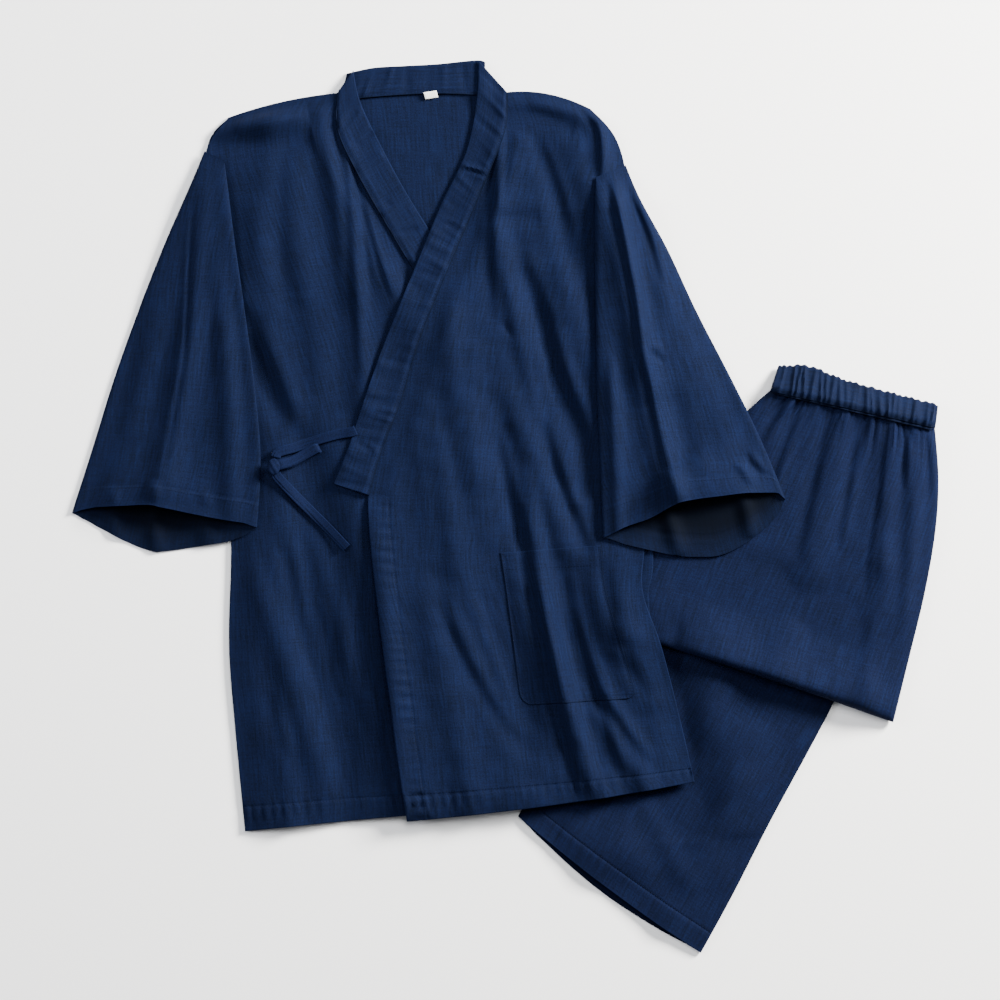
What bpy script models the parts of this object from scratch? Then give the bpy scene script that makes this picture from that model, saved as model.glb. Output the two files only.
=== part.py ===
# Jinbei set laid flat: a wrap jacket with its tie knotted, lying partly on folded trousers.
# Tables hold millimetres on the ground, +X to the jacket's left side, +Y towards its collar.
# Each piece is laid on the pieces below it, so the cloth spans hollows and rests on high places.

import math
from collections import namedtuple

import bmesh
import bpy
import numpy as np
from mathutils import Vector
from mathutils.bvhtree import BVHTree
from mathutils.interpolate import poly_3d_calc

MM = 0.001
WALL = 1.3
BAND_WALL = 2.6
SEAM_GAP = 0.3
LOOSE_GAP = 0.5
POCKET_GAP = 0.35
SLEEVE_HOLLOW = 1.6
LEG_HOLLOW = 1.8
FOLD_HOLLOW = 5.2
SIDE_BULGE = 1.4
TUBE_INSET = 1.5
END_ROUNDING = 2.2
END_SQUEEZE = 0.28
EDGE_ROLL = 30.0
PANEL_STEP = 26.0
TUBE_STEP = 27.0
COLLAR_STEP = 21.0
TIE_WIDTH = 10.5
TIE_STEP = 10.0
TIE_WALL = 1.4
LOOP_HOLLOW = 2.2
KNOT_SIZE = (15.0, 19.0, 9.0)
KNOT_PLACE = (-245.0, 42.0)
LABEL_WALL = 0.8
WAIST_RIPPLES = 24
RIPPLE_HEIGHT = 2.4
POINTS_PER_RIPPLE = 4
CELL_SAMPLES = 8
SKY = 500.0
DOWN = Vector((0.0, 0.0, -1.0))

# The box of the whole set is centred by this shift of the ground tables.
CENTRE = (0.0, 0.0)

Row = namedtuple("Row", "left_x left_y right_x right_y sag")
TubeRow = namedtuple("TubeRow", "left_x left_y right_x right_y top_sag under_sag")
Fold = namedtuple("Fold", "from_x from_y to_x to_y width height")
Place = namedtuple("Place", "x y")

# Jacket panels from shoulder to hem, one row for each section across.
BACK = (
    Row(-294, 413, 92, 421, 23),
    Row(-317, 376, 124, 368, 4),
    Row(-309, 262, 137, 250, 0),
    Row(-297, 113, 148, 102, 0),
    Row(-290, -41, 157, -51, 0),
    Row(-292, -100, 152, -95, 0),
    Row(-292, -152, 160, -150, 0),
    Row(-284, -242, 181, -238, 0),
    Row(-273, -340, 194, -289, -3),
)
FRONT_UNDER = (
    Row(-294, 413, -178, 439, 4),
    Row(-317, 378, -177, 400, 0),
    Row(-314, 330, -157, 356, 0),
    Row(-309, 275, -130, 308, 0),
    Row(-303, 215, -97, 253, 0),
    Row(-299, 160, -64, 203, 0),
    Row(-295, 95, -32, 145, 0),
    Row(-291, 10, -6, 50, 0),
    Row(-291, -60, 4, -45, 0),
    Row(-293, -150, 14, -140, 0),
    Row(-286, -242, 26, -235, 0),
    Row(-276, -345, 34, -316, 1),
)
FRONT_OVER = (
    Row(2, 440, 91, 422, 7),
    Row(0, 403, 117, 392, 0),
    Row(-16, 359, 129, 350, 0),
    Row(-40, 302, 132, 290, 0),
    Row(-64, 246, 136, 232, 0),
    Row(-93, 173, 141, 165, 0),
    Row(-111, 113, 146, 108, 0),
    Row(-133, 56, 150, 50, 0),
    Row(-145, 12, 152, 4, 0),
    Row(-142, -46, 148, -44, 0),
    Row(-137, -90, 146, -90, 0),
    Row(-130, -148, 165, -146, 0),
    Row(-121, -213, 181, -206, 0),
    Row(-115, -262, 192, -252, 0),
    Row(-104, -334, 201, -292, -4),
)
POCKET_ROWS = (9, 12)
POCKET_ACROSS = (0.468, 0.855)

# Free edges of the collar bands, one place for each row of the front that carries the band.
COLLAR_OVER_FREE = (
    Place(-28, 473), Place(-30, 434), Place(-41, 379), Place(-68, 321), Place(-94, 258),
    Place(-125, 182), Place(-147, 121), Place(-166, 64), Place(-182, 24),
)
COLLAR_UNDER_FREE = (
    Place(-161, 463), Place(-153, 428), Place(-128, 376), Place(-101, 327), Place(-66, 272),
    Place(-32, 222), Place(2, 162),
)
COLLAR_NECK = (
    Row(-175, 433.5, -166, 461, 0),
    Row(-152, 439, -140, 466, 0),
    Row(-111, 443.5, -108, 468, 0),
    Row(-72, 444.5, -72, 470, 0),
    Row(-31, 443.5, -31, 474, 0),
)
LABEL = (
    Row(-88, 441, -72, 443.5, 0),
    Row(-85, 432, -69.5, 434.5, 0),
)

# Sleeves from shoulder seam to cuff; the cuff's upper layer is drawn back from its lower one.
SLEEVE_RIGHT = (
    TubeRow(-319, 377, -298, 367, 0, 0),
    TubeRow(-334, 341, -294, 340, 0, 0),
    TubeRow(-360, 282, -287, 285, 0, 0),
    TubeRow(-387, 214, -277, 216, 0, 0),
    TubeRow(-415, 136, -266, 132, 0, 0),
    TubeRow(-437, 65, -259, 52, 2, -3),
    TubeRow(-460, -7, -263, -22, 12, -33),
)
SLEEVE_LEFT = (
    TubeRow(97, 366, 127, 366, 0, 0),
    TubeRow(95, 325, 144, 325, 0, 0),
    TubeRow(95, 272, 173, 272, 0, 0),
    TubeRow(96, 208, 203, 208, 0, 0),
    TubeRow(97, 134, 241, 134, 0, 0),
    TubeRow(100, 60, 273, 66, 3, -3),
    TubeRow(104, -33, 297, 8, 14, -42),
)

# Trousers from waist to hem: the lower leg lies full length, the upper one is folded under.
LEG_UNDER = (
    TubeRow(284, 121, 452, 82, 0, 0),
    TubeRow(246, 74, 440, -8, 0, 0),
    TubeRow(196, 2, 392, -118, 0, 0),
    TubeRow(139, -101, 340, -226, 0, 0),
    TubeRow(88, -195, 283, -332, 0, 0),
    TubeRow(42, -277, 241, -414, 0, 0),
    TubeRow(14, -329, 208, -474, -5, -14),
)
LEG_UPPER = (
    TubeRow(281, 123, 456, 84, 0, 0),
    TubeRow(248, 92, 460, 30, 0, 0),
    TubeRow(207, 39, 457, -25, 0, 0),
    TubeRow(164, -25, 446, -90, 0, 0),
    TubeRow(129, -83, 430, -157, 0, 0),
    TubeRow(108, -128, 410, -227, 3, 3),
)
# Free edges of the waistband's halves, at even steps along the top of their leg.
WAIST_UPPER_FREE = (
    Place(290, 149), Place(322, 149.5), Place(355, 136.5), Place(389, 126.5), Place(425, 117),
    Place(460, 108),
)
WAIST_UNDER_FREE = (Place(291, 144), Place(330, 138), Place(372, 128), Place(414, 117), Place(456, 106))

# The tie: its strap from the collar, the loop and the free end at the knot.
TIE_STRAP = (Place(-163.5, 79), Place(-180, 76), Place(-204, 69), Place(-225, 62), Place(-240, 57.5))
TIE_LOOP = (Place(-236.5, 43.5), Place(-225, 47), Place(-212, 54), Place(-199, 61))
TIE_END = (Place(-239, 29), Place(-217, 6), Place(-191, -20), Place(-168, -44))

# Main folds, as soft ridges along a line on the ground; a negative height is a trough.
FOLDS_UNDER = (
    Fold(-186, 400, -160, 235, 13, 8),
    Fold(-160, 235, -150, 120, 13, 5),
    Fold(-250, 390, -262, 250, 22, 5),
    Fold(-225, 330, -205, 160, 18, 5),
    Fold(-262, 176, -226, 90, 9, -3),
    Fold(-120, 235, -95, 190, 14, 4),
    Fold(-240, 60, -232, -60, 20, 5),
    Fold(-250, -110, -205, -250, 16, 6),
    Fold(-232, -57, -178, -200, 11, -3),
    Fold(-195, -60, -158, -190, 15, 6),
    Fold(-158, -190, -150, -310, 15, 4),
    Fold(-235, -260, -228, -345, 14, 4),
)
FOLDS_OVER = (
    Fold(-2, 425, -6, 320, 13, 7),
    Fold(50, 420, 85, 330, 16, 5),
    Fold(34, 390, 70, 270, 12, -3),
    Fold(-10, 290, 35, 165, 16, 7),
    Fold(16, 262, 62, 100, 11, -3),
    Fold(60, 210, 72, 60, 16, 6),
    Fold(-60, 190, -40, 60, 18, 6),
    Fold(-70, 40, -45, -110, 18, 6),
    Fold(20, 80, 60, -30, 16, 6),
    Fold(0, 80, 28, -50, 9, -3),
    Fold(28, 5, 55, -160, 15, 8),
    Fold(55, -160, 100, -300, 16, 8),
    Fold(-40, -110, 12, -235, 14, -3),
    Fold(-75, -130, -40, -290, 18, 5),
    Fold(108, -200, 145, -285, 13, 6),
    Fold(68, -140, 100, -265, 8, -3),
)
FOLDS_SLEEVE_RIGHT = (
    Fold(-322, 330, -331, 190, 10, 5),
    Fold(-331, 190, -360, 40, 14, 9),
    Fold(-385, 170, -420, 30, 16, 6),
    Fold(-295, 180, -290, 20, 14, 7),
)
FOLDS_SLEEVE_LEFT = (
    Fold(112, 370, 130, 250, 9, 7),
    Fold(130, 250, 146, 150, 13, 10),
    Fold(146, 150, 178, 15, 14, 9),
    Fold(148, 320, 172, 230, 10, 6),
    Fold(200, 160, 255, 30, 18, 7),
    Fold(112, 120, 118, -20, 9, 5),
)
FOLDS_LEG_UNDER = (
    Fold(250, -290, 180, -420, 18, 4),
    Fold(200, -230, 110, -360, 20, 4),
)
FOLDS_LEG_UPPER = (
    Fold(410, 80, 400, -60, 10, 5),
    Fold(400, -60, 385, -190, 14, 5),
    Fold(360, 85, 330, -40, 12, 5),
    Fold(330, -40, 290, -170, 20, 4),
    Fold(435, 40, 428, -110, 10, 4),
)

NAVY = (0.0110, 0.0265, 0.1050)
NAVY_COLLAR = (0.0125, 0.0290, 0.1120)
NAVY_TROUSERS = (0.0105, 0.0250, 0.0990)
WHITE = (0.78, 0.78, 0.76)


def clear_scene():
    """Removes whatever the scene holds before the set is made."""
    for item in list(bpy.data.objects):
        bpy.data.objects.remove(item, do_unlink=True)


def cotton(name, colour, roughness):
    """A matt woven cotton finish of one colour."""
    material = bpy.data.materials.new(name)
    material.use_nodes = True
    shader = material.node_tree.nodes["Principled BSDF"]
    shader.inputs["Base Color"].default_value = (*colour, 1.0)
    shader.inputs["Roughness"].default_value = roughness
    shader.inputs["Metallic"].default_value = 0.0
    return material


def smoothstep(value):
    """Runs from 0 to 1 with level ends."""
    bounded = np.clip(value, 0.0, 1.0)
    return bounded * bounded * (3.0 - 2.0 * bounded)


def through(table, place):
    """Values of a table at a place between its rows, on a smooth curve through all rows."""
    last = len(table) - 1
    low = min(int(place), last - 1)
    part = place - low
    before, start, end, after = (table[min(max(low + step, 0), last)] for step in (-1, 0, 1, 2))
    return 0.5 * (
        2.0 * start
        + (end - before) * part
        + (2.0 * before - 5.0 * start + 4.0 * end - after) * part ** 2
        + (3.0 * start - before - 3.0 * end + after) * part ** 3
    )


def stations(table, step):
    """Places along a table, at every row and about a step apart between rows."""
    values = np.array(table, dtype=float)
    places = []
    for index in range(len(values) - 1):
        change = values[index + 1] - values[index]
        length = 0.5 * (math.hypot(change[0], change[1]) + math.hypot(change[2], change[3]))
        count = max(1, round(length / step))
        places += [index + part / count for part in range(count)]
    return places + [len(values) - 1.0]


def fractions(knots, counts):
    """Places across a panel, from 0 to 1, with each knot on one of them."""
    across = []
    for start, end, count in zip(knots, knots[1:], counts):
        across += [start + (end - start) * part / count for part in range(count)]
    return np.array(across + [knots[-1]])


def ground_grid(table, places, across, sag_column=4):
    """Ground points of a sheet: rows at the places, columns at the fractions across."""
    values = np.array(table, dtype=float)
    rows = []
    for place in places:
        row = through(values, place)
        left, right = row[0:2], row[2:4]
        line = left + np.outer(across, right - left)
        line[:, 1] += row[sag_column] * 4.0 * across * (1.0 - across)
        rows.append(line)
    return np.array(rows)


def grid_faces(rows, columns):
    """Triangles of a grid, all with the same diagonal, seen from above."""
    faces = []
    for row in range(rows - 1):
        for column in range(columns - 1):
            a = row * columns + column
            b = a + columns
            faces.append((a, b, b + 1))
            faces.append((a, b + 1, a + 1))
    return faces


def ridges(folds, grid):
    """Height that the folds of a piece add over its ground points."""
    total = np.zeros(grid.shape[:2])
    for fold in folds:
        start = np.array((fold.from_x, fold.from_y))
        run = np.array((fold.to_x, fold.to_y)) - start
        along = np.clip(((grid - start) @ run) / (run @ run), 0.0, 1.0)
        away = np.linalg.norm(grid - start - along[..., None] * run, axis=2)
        total += fold.height * np.exp(-(away / fold.width) ** 2)
    return total


def edge_roll(grid):
    """Runs from 0 at the two side edges of a sheet to 1 further in."""
    from_left = np.linalg.norm(grid - grid[:, :1], axis=2)
    from_right = np.linalg.norm(grid - grid[:, -1:], axis=2)
    return smoothstep(np.minimum(from_left, from_right) / EDGE_ROLL)


class Pile:
    """The pieces laid so far, as one surface that the next piece comes to lie on."""

    def __init__(self):
        self.points = []
        self.faces = []
        self.tree = None

    def add(self, points, faces):
        """Adds the upper surface of a piece."""
        first = len(self.points)
        self.points += [tuple(point) for point in points]
        self.faces += [tuple(first + corner for corner in face) for face in faces]
        self.tree = BVHTree.FromPolygons(self.points, self.faces)

    def contacts(self):
        """The pile's points and its edges' middles, where a sheet may touch it."""
        places = set(self.points)
        for face in self.faces:
            for start, end in zip(face, face[1:] + face[:1]):
                ends = zip(self.points[start], self.points[end])
                places.add(tuple(0.5 * (a + b) for a, b in ends))
        return sorted(places)

    def height(self, x, y, bare):
        """Height of the pile over a ground point, or the bare value where nothing lies."""
        if self.tree is None:
            return bare
        hit = self.tree.ray_cast(Vector((x, y, SKY)), DOWN)[0]
        return bare if hit is None else hit.z


def relax(heights, rests):
    """One step of a sheet pulled level between the heights that it rests on."""
    mean = heights.copy()
    mean[1:-1, 1:-1] = 0.25 * (
        heights[:-2, 1:-1] + heights[2:, 1:-1] + heights[1:-1, :-2] + heights[1:-1, 2:]
    )
    mean[0, 1:-1] = 0.5 * (heights[0, :-2] + heights[0, 2:])
    mean[-1, 1:-1] = 0.5 * (heights[-1, :-2] + heights[-1, 2:])
    mean[1:-1, 0] = 0.5 * (heights[:-2, 0] + heights[2:, 0])
    mean[1:-1, -1] = 0.5 * (heights[:-2, -1] + heights[2:, -1])
    return np.maximum(mean, rests)


def within_cells(grid):
    """Ground points spread over every cell of a grid."""
    parts = np.arange(CELL_SAMPLES + 1) / CELL_SAMPLES
    spread = []
    for down in parts:
        upper = grid[:-1] * (1.0 - down) + grid[1:] * down
        for across in parts:
            cell = upper[:, :-1] * (1.0 - across) + upper[:, 1:] * across
            spread.append(cell.reshape(-1, 2))
    return np.concatenate(spread)


def lay(grid, pile, gap, slack):
    """Underside heights of a sheet laid on the pile with a gap, taut over a few columns."""
    rows, columns = grid.shape[:2]
    rests = np.array([[pile.height(x, y, -gap) + gap for x, y in line] for line in grid])
    heights = rests.copy()
    for _ in range(slack):
        heights = relax(heights, rests)
    points = grid.reshape(-1, 2)
    faces = grid_faces(rows, columns)
    flat = [Vector((x, y, 0.0)) for x, y in points]
    sheet = BVHTree.FromPolygons(flat, faces)
    places = [(x, y, pile.height(x, y, -gap)) for x, y in within_cells(grid)] + pile.contacts()
    heights = heights.reshape(-1)
    lifts = np.zeros(len(points))
    for x, y, beneath in places:
        hit, _, index, _ = sheet.ray_cast(Vector((x, y, 1.0)), DOWN)
        if hit is None:
            continue
        corners = faces[index]
        weights = poly_3d_calc([flat[corner] for corner in corners], hit)
        level = sum(heights[corner] * weight for corner, weight in zip(corners, weights))
        short = beneath + gap - level
        for corner in corners:
            lifts[corner] = max(lifts[corner], short)
    return (heights + lifts).reshape(rows, columns)


def raised(grid, heights):
    """Points of a sheet from its ground points and heights."""
    return np.dstack((grid, heights)).reshape(-1, 3)


def make_piece(name, points, faces, colour, group, roughness=0.86):
    """One named solid with its own cotton, from points in millimetres."""
    mesh = bpy.data.meshes.new(name)
    places = [
        ((x - CENTRE[0]) * MM, (y - CENTRE[1]) * MM, z * MM) for x, y, z in points
    ]
    mesh.from_pydata(places, [], [tuple(face) for face in faces])
    solid = bmesh.new()
    solid.from_mesh(mesh)
    bmesh.ops.recalc_face_normals(solid, faces=solid.faces)
    if solid.calc_volume(signed=True) < 0.0:
        bmesh.ops.reverse_faces(solid, faces=solid.faces)
    solid.to_mesh(mesh)
    solid.free()
    mesh.shade_smooth()
    mesh.set_sharp_from_angle(angle=math.radians(50.0))
    mesh.materials.append(cotton(name + "_cotton", colour, roughness))
    piece = bpy.data.objects.new(name, mesh)
    bpy.context.scene.collection.objects.link(piece)
    piece.parent = group
    return piece


def rim_faces(faces, count):
    """Faces of the rim between a sheet's underside and its top, count points apart."""
    edges = set()
    for face in faces:
        edges.update(zip(face, face[1:] + face[:1]))
    return [
        (start, end, end + count, start + count)
        for start, end in sorted(edges)
        if (end, start) not in edges
    ]


def make_sheet(name, under, faces, wall, colour, group, pile):
    """A layer of cloth with its underside points, a wall upwards and a rim all round."""
    top = under + np.array((0.0, 0.0, wall))
    count = len(under)
    lower = [tuple(reversed(face)) for face in faces]
    upper = [tuple(corner + count for corner in face) for face in faces]
    points = np.concatenate((under, top))
    make_piece(name, points, lower + upper + rim_faces(faces, count), colour, group)
    pile.add(top, faces)


def drawn_in(row, distance):
    """A row whose two end points are moved towards their neighbours."""
    moved = row.copy()
    for end, neighbour in ((0, 1), (-1, -2)):
        run = row[neighbour] - row[end]
        moved[end] += run * distance / np.linalg.norm(run)
    return moved


def ring(under, top, bulge):
    """Closed section of a tube: its underside, one side, its top turned back, other side."""
    right = 0.5 * (under[-1] + top[-1])
    left = 0.5 * (under[0] + top[0])
    return np.vstack((drawn_in(under, bulge), right[None], drawn_in(top, bulge)[::-1], left[None]))


def inset_row(under, top, wall, sideways):
    """Section of the tube's inner face, a wall inside its outer one."""
    up = np.array((0.0, 0.0, wall))
    return drawn_in(under + up, sideways), drawn_in(top - up, sideways)


def skin_faces(rings, width, first):
    """Triangles between neighbouring rings, whose points start at first."""
    faces = []
    for index in range(rings - 1):
        for column in range(width):
            a = first + index * width + column
            b = first + index * width + (column + 1) % width
            faces.append((a, b, b + width))
            faces.append((a, b + width, a + width))
    return faces


def cap_faces(start, columns):
    """Faces that close a ring, from its underside to its top."""
    last = 2 * columns
    faces = []
    for column in range(columns - 1):
        above = start + last - column
        faces.append((start + column, start + column + 1, above - 1, above))
    faces.append((start + columns - 1, start + columns, start + columns + 1))
    faces.append((start, start + last, start + last + 1))
    return faces


def flattened(under, top):
    """A section lowered towards its middle height, which rounds a closed end."""
    depth = (top - under) * np.array((0.0, 0.0, END_SQUEEZE))
    return under + depth, top - depth


def stepped(section, neighbour, distance):
    """A section moved a distance towards its neighbour."""
    moved = []
    for row, other in zip(section, neighbour):
        run = other - row
        moved.append(row + run * distance / np.linalg.norm(run, axis=1)[:, None])
    return tuple(moved)


def solid_of_rings(rings, columns):
    """Points and faces of a closed solid through rings."""
    width = 2 * columns + 2
    points = np.vstack(rings)
    faces = skin_faces(len(rings), width, 0)
    faces += cap_faces(0, columns) + cap_faces((len(rings) - 1) * width, columns)
    return points, faces


def make_tube(name, under, top, ends_closed, colour, group):
    """A flattened tube of cloth from its under and top sections; returns its outer skin."""
    columns = under.shape[1]
    width = 2 * columns + 2
    rows = list(zip(under, top))
    inner_rows = list(rows)
    for closed, end, neighbour in zip(ends_closed, (0, -1), (1, -2)):
        if closed:
            rows[end] = stepped(rows[end], rows[neighbour], END_ROUNDING)
            inner_rows[end] = stepped(rows[end], rows[neighbour], WALL)
    outer = [ring(low, high, SIDE_BULGE) for low, high in rows]
    inner_rows = [inset_row(low, high, WALL, TUBE_INSET) for low, high in inner_rows]
    inner = [ring(low, high, SIDE_BULGE) for low, high in inner_rows]
    if ends_closed[0]:
        outer.insert(0, ring(*flattened(under[0], top[0]), SIDE_BULGE))
    if ends_closed[1]:
        outer.append(ring(*flattened(under[-1], top[-1]), SIDE_BULGE))
    first_inner = len(outer) * width
    faces = skin_faces(len(outer), width, 0)
    faces += [tuple(reversed(face)) for face in skin_faces(len(inner), width, first_inner)]
    outer_ends = (0, (len(outer) - 1) * width)
    inner_ends = (first_inner, first_inner + (len(inner) - 1) * width)
    for closed, out_start, in_start in zip(ends_closed, outer_ends, inner_ends):
        if closed:
            faces += cap_faces(out_start, columns) + cap_faces(in_start, columns)
            continue
        for column in range(width):
            ahead = (column + 1) % width
            faces.append((out_start + column, out_start + ahead, in_start + ahead, in_start + column))
    make_piece(name, np.vstack(outer + inner), faces, colour, group)
    return np.vstack(outer), skin_faces(len(outer), width, 0)


def lay_tube(name, table, columns, hollow, folds, ends_closed, colour, group, pile):
    """Lays a tube's lower layer on the pile, its upper layer on that, and joins them."""
    places = stations(table, TUBE_STEP)
    across = fractions((0.0, 1.0), (columns - 1,))
    low_grid = ground_grid(table, places, across, sag_column=5)
    top_grid = ground_grid(table, places, across, sag_column=4)
    low_heights = lay(low_grid, pile, LOOSE_GAP, 3)
    under = np.dstack((low_grid, low_heights))
    shape = (len(places), columns)
    faces = grid_faces(*shape)
    bed = Pile()
    bed.add((under + np.array((0.0, 0.0, WALL))).reshape(-1, 3), faces)
    spread = lay(top_grid, bed, hollow, 2)
    spread = np.maximum(spread, low_heights + WALL + hollow)
    spread += np.maximum(ridges(folds, top_grid), 0.0) * edge_roll(top_grid)
    top = np.dstack((top_grid, spread + WALL))
    pile.add(*make_tube(name, under, top, ends_closed, colour, group))
    return under, top


def lay_panel(name, table, columns, knots, folds, loft, colour, group, pile):
    """Lays a jacket panel on the pile, with its folds; returns its top points as a grid."""
    places = stations(table, PANEL_STEP)
    across = fractions(knots, columns)
    grid = ground_grid(table, places, across)
    heights = lay(grid, pile, LOOSE_GAP, 3)
    folded = np.maximum(loft + ridges(folds, grid), 0.0)
    heights += folded * edge_roll(grid)
    faces = grid_faces(*grid.shape[:2])
    make_sheet(name, raised(grid, heights), faces, WALL, colour, group, pile)
    return places, across, np.dstack((grid, heights + WALL))


def lay_collar(name, front, free_places, pile, group):
    """Lays a collar band beside a front's edge, its seam edge made from the front's points."""
    places, edge = front
    table = np.array(free_places, dtype=float)
    used = [index for index, place in enumerate(places) if place <= len(table) - 1]
    seam = edge[used]
    free = np.array([through(table, places[index]) for index in used])
    outward = free - seam
    outward /= np.linalg.norm(outward, axis=1)[:, None]
    seam = seam + outward * SEAM_GAP
    across = fractions((0.0, 1.0), (2,))
    grid = seam[:, None, :] + across[None, :, None] * (free - seam)[:, None, :]
    heights = lay(grid, pile, LOOSE_GAP, 1)
    faces = grid_faces(*grid.shape[:2])
    make_sheet(name, raised(grid, heights), faces, BAND_WALL, NAVY_COLLAR, group, pile)


def ribbon_grid(route, width, step):
    """Ground points of a narrow strap along a smooth route, three across."""
    table = np.array(route, dtype=float)
    places = []
    for index in range(len(table) - 1):
        count = max(1, round(np.linalg.norm(table[index + 1] - table[index]) / step))
        places += [index + part / count for part in range(count)]
    middle = np.array([through(table, place) for place in places + [len(table) - 1.0]])
    run = np.gradient(middle, axis=0)
    run /= np.linalg.norm(run, axis=1)[:, None]
    side = np.column_stack((-run[:, 1], run[:, 0])) * width / 2.0
    return np.stack((middle - side, middle, middle + side), axis=1)


def lay_strap(name, route, width, wall, colour, group, pile):
    """Lays a narrow strap on the pile."""
    grid = ribbon_grid(route, width, TIE_STEP)
    heights = lay(grid, pile, SEAM_GAP, 1)
    faces = grid_faces(*grid.shape[:2])
    make_sheet(name, raised(grid, heights), faces, wall, colour, group, pile)


def trousers(pile):
    """Folded trousers: the lower leg, the upper leg folded under, and the gathered waist."""
    group = bpy.data.objects.new("trousers", None)
    bpy.context.scene.collection.objects.link(group)
    lay_tube(
        "trousers_leg_under", LEG_UNDER, 9, LEG_HOLLOW, FOLDS_LEG_UNDER, (False, False),
        NAVY_TROUSERS, group, pile,
    )
    under, top = lay_tube(
        "trousers_leg_upper", LEG_UPPER, 12, FOLD_HOLLOW, FOLDS_LEG_UPPER, (False, True),
        NAVY_TROUSERS, group, pile,
    )
    folded_layers(under, top, group)
    lay_waistband("trousers_waist_under", LEG_UNDER[0], WAIST_UNDER_FREE, 0, group, pile)
    lay_waistband("trousers_waist_upper", LEG_UPPER[0], WAIST_UPPER_FREE, WAIST_RIPPLES, group, pile)


def folded_layers(under, top, group):
    """The layers folded away inside the upper leg, as one rounded solid."""
    up = np.array((0.0, 0.0, WALL + LOOSE_GAP))
    rings = [
        ring(low + up, high - up, SIDE_BULGE)
        for low, high in zip(under[1:-1, 1:-1], top[1:-1, 1:-1])
    ]
    points, faces = solid_of_rings(rings, under.shape[1] - 2)
    make_piece("trousers_folded_layers", points, faces, NAVY_TROUSERS, group)


def lay_waistband(name, leg_top, free_places, ripples, group, pile):
    """Lays one half of the elastic casing along its leg, gathered into ripples."""
    table = np.array(free_places, dtype=float)
    count = max(ripples * POINTS_PER_RIPPLE, 2 * len(table))
    free = np.array([through(table, place) for place in np.linspace(0.0, len(table) - 1.0, count + 1)])
    start = np.array((leg_top.left_x, leg_top.left_y), dtype=float)
    end = np.array((leg_top.right_x, leg_top.right_y), dtype=float)
    seam = start + np.outer(np.linspace(0.0, 1.0, count + 1), end - start)
    outward = free - seam
    outward /= np.linalg.norm(outward, axis=1)[:, None]
    seam = seam + outward * SEAM_GAP
    across = fractions((0.0, 1.0), (2,))
    grid = seam[:, None, :] + across[None, :, None] * (free - seam)[:, None, :]
    phase = np.linspace(0.0, ripples * 2.0 * math.pi, count + 1)
    wave = 0.5 * RIPPLE_HEIGHT * (1.0 - np.cos(phase))
    heights = lay(grid, pile, LOOSE_GAP, 1) + wave[:, None]
    faces = [tuple(reversed(face)) for face in grid_faces(*grid.shape[:2])]
    make_sheet(name, raised(grid, heights), faces, BAND_WALL, NAVY_TROUSERS, group, pile)


def pocket(front, group, pile):
    """Patch pocket made from the front's own points, moved out, with cut lower corners."""
    places, across, top = front
    rows = [index for index, place in enumerate(places) if POCKET_ROWS[0] <= place <= POCKET_ROWS[1]]
    columns = [
        index for index, part in enumerate(across)
        if POCKET_ACROSS[0] - 1e-6 <= part <= POCKET_ACROSS[1] + 1e-6
    ]
    block = top[rows[0]:rows[-1] + 1, columns[0]:columns[-1] + 1]
    height, width = block.shape[:2]
    points = block.reshape(-1, 3) + np.array((0.0, 0.0, POCKET_GAP))
    corners = ((height - 1) * width, height * width - 1)
    faces = [
        face for face in grid_faces(height, width)
        if not set(face) & set(corners)
    ]
    inner = (height - 1) * width - 2
    faces.append((inner, inner + width, inner + 1))
    used = sorted({corner for face in faces for corner in face})
    order = {old: new for new, old in enumerate(used)}
    faces = [tuple(order[corner] for corner in face) for face in faces]
    make_sheet("pocket", points[used], faces, WALL, NAVY, group, pile)


def tie(pile, group):
    """The knotted tie: strap, knot, loop and free end."""
    lay_strap("tie_strap", TIE_STRAP, TIE_WIDTH, TIE_WALL, NAVY_COLLAR, group, pile)
    lay_strap("tie_end", TIE_END, TIE_WIDTH, TIE_WALL, NAVY_COLLAR, group, pile)
    tie_loop(pile, group)
    tie_knot(pile, group)


def tie_loop(pile, group):
    """The bow's loop: a strap turned back on itself, with its two layers apart."""
    grid = ribbon_grid(TIE_LOOP, TIE_WIDTH, TIE_STEP)
    across = grid.transpose(1, 0, 2)
    low = lay(across, pile, SEAM_GAP, 1)
    under = np.dstack((across, low))
    top = under + np.array((0.0, 0.0, 2.0 * TIE_WALL + LOOP_HOLLOW))
    make_tube("tie_loop", under, top, (False, False), NAVY_COLLAR, group)


def tie_knot(pile, group):
    """The knot: a rounded lump of tightened strap."""
    solid = bmesh.new()
    bmesh.ops.create_uvsphere(solid, u_segments=12, v_segments=8, radius=0.5)
    points = np.array([vertex.co for vertex in solid.verts]) * np.array(KNOT_SIZE)
    points[:, :2] += np.array(KNOT_PLACE)
    faces = [tuple(vertex.index for vertex in face.verts) for face in solid.faces]
    solid.free()
    lift = 0.0
    for x, y, z in points:
        lift = max(lift, pile.height(x, y, 0.0) + SEAM_GAP - z)
    points[:, 2] += lift
    make_piece("tie_knot", points, faces, NAVY_COLLAR, group)


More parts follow.
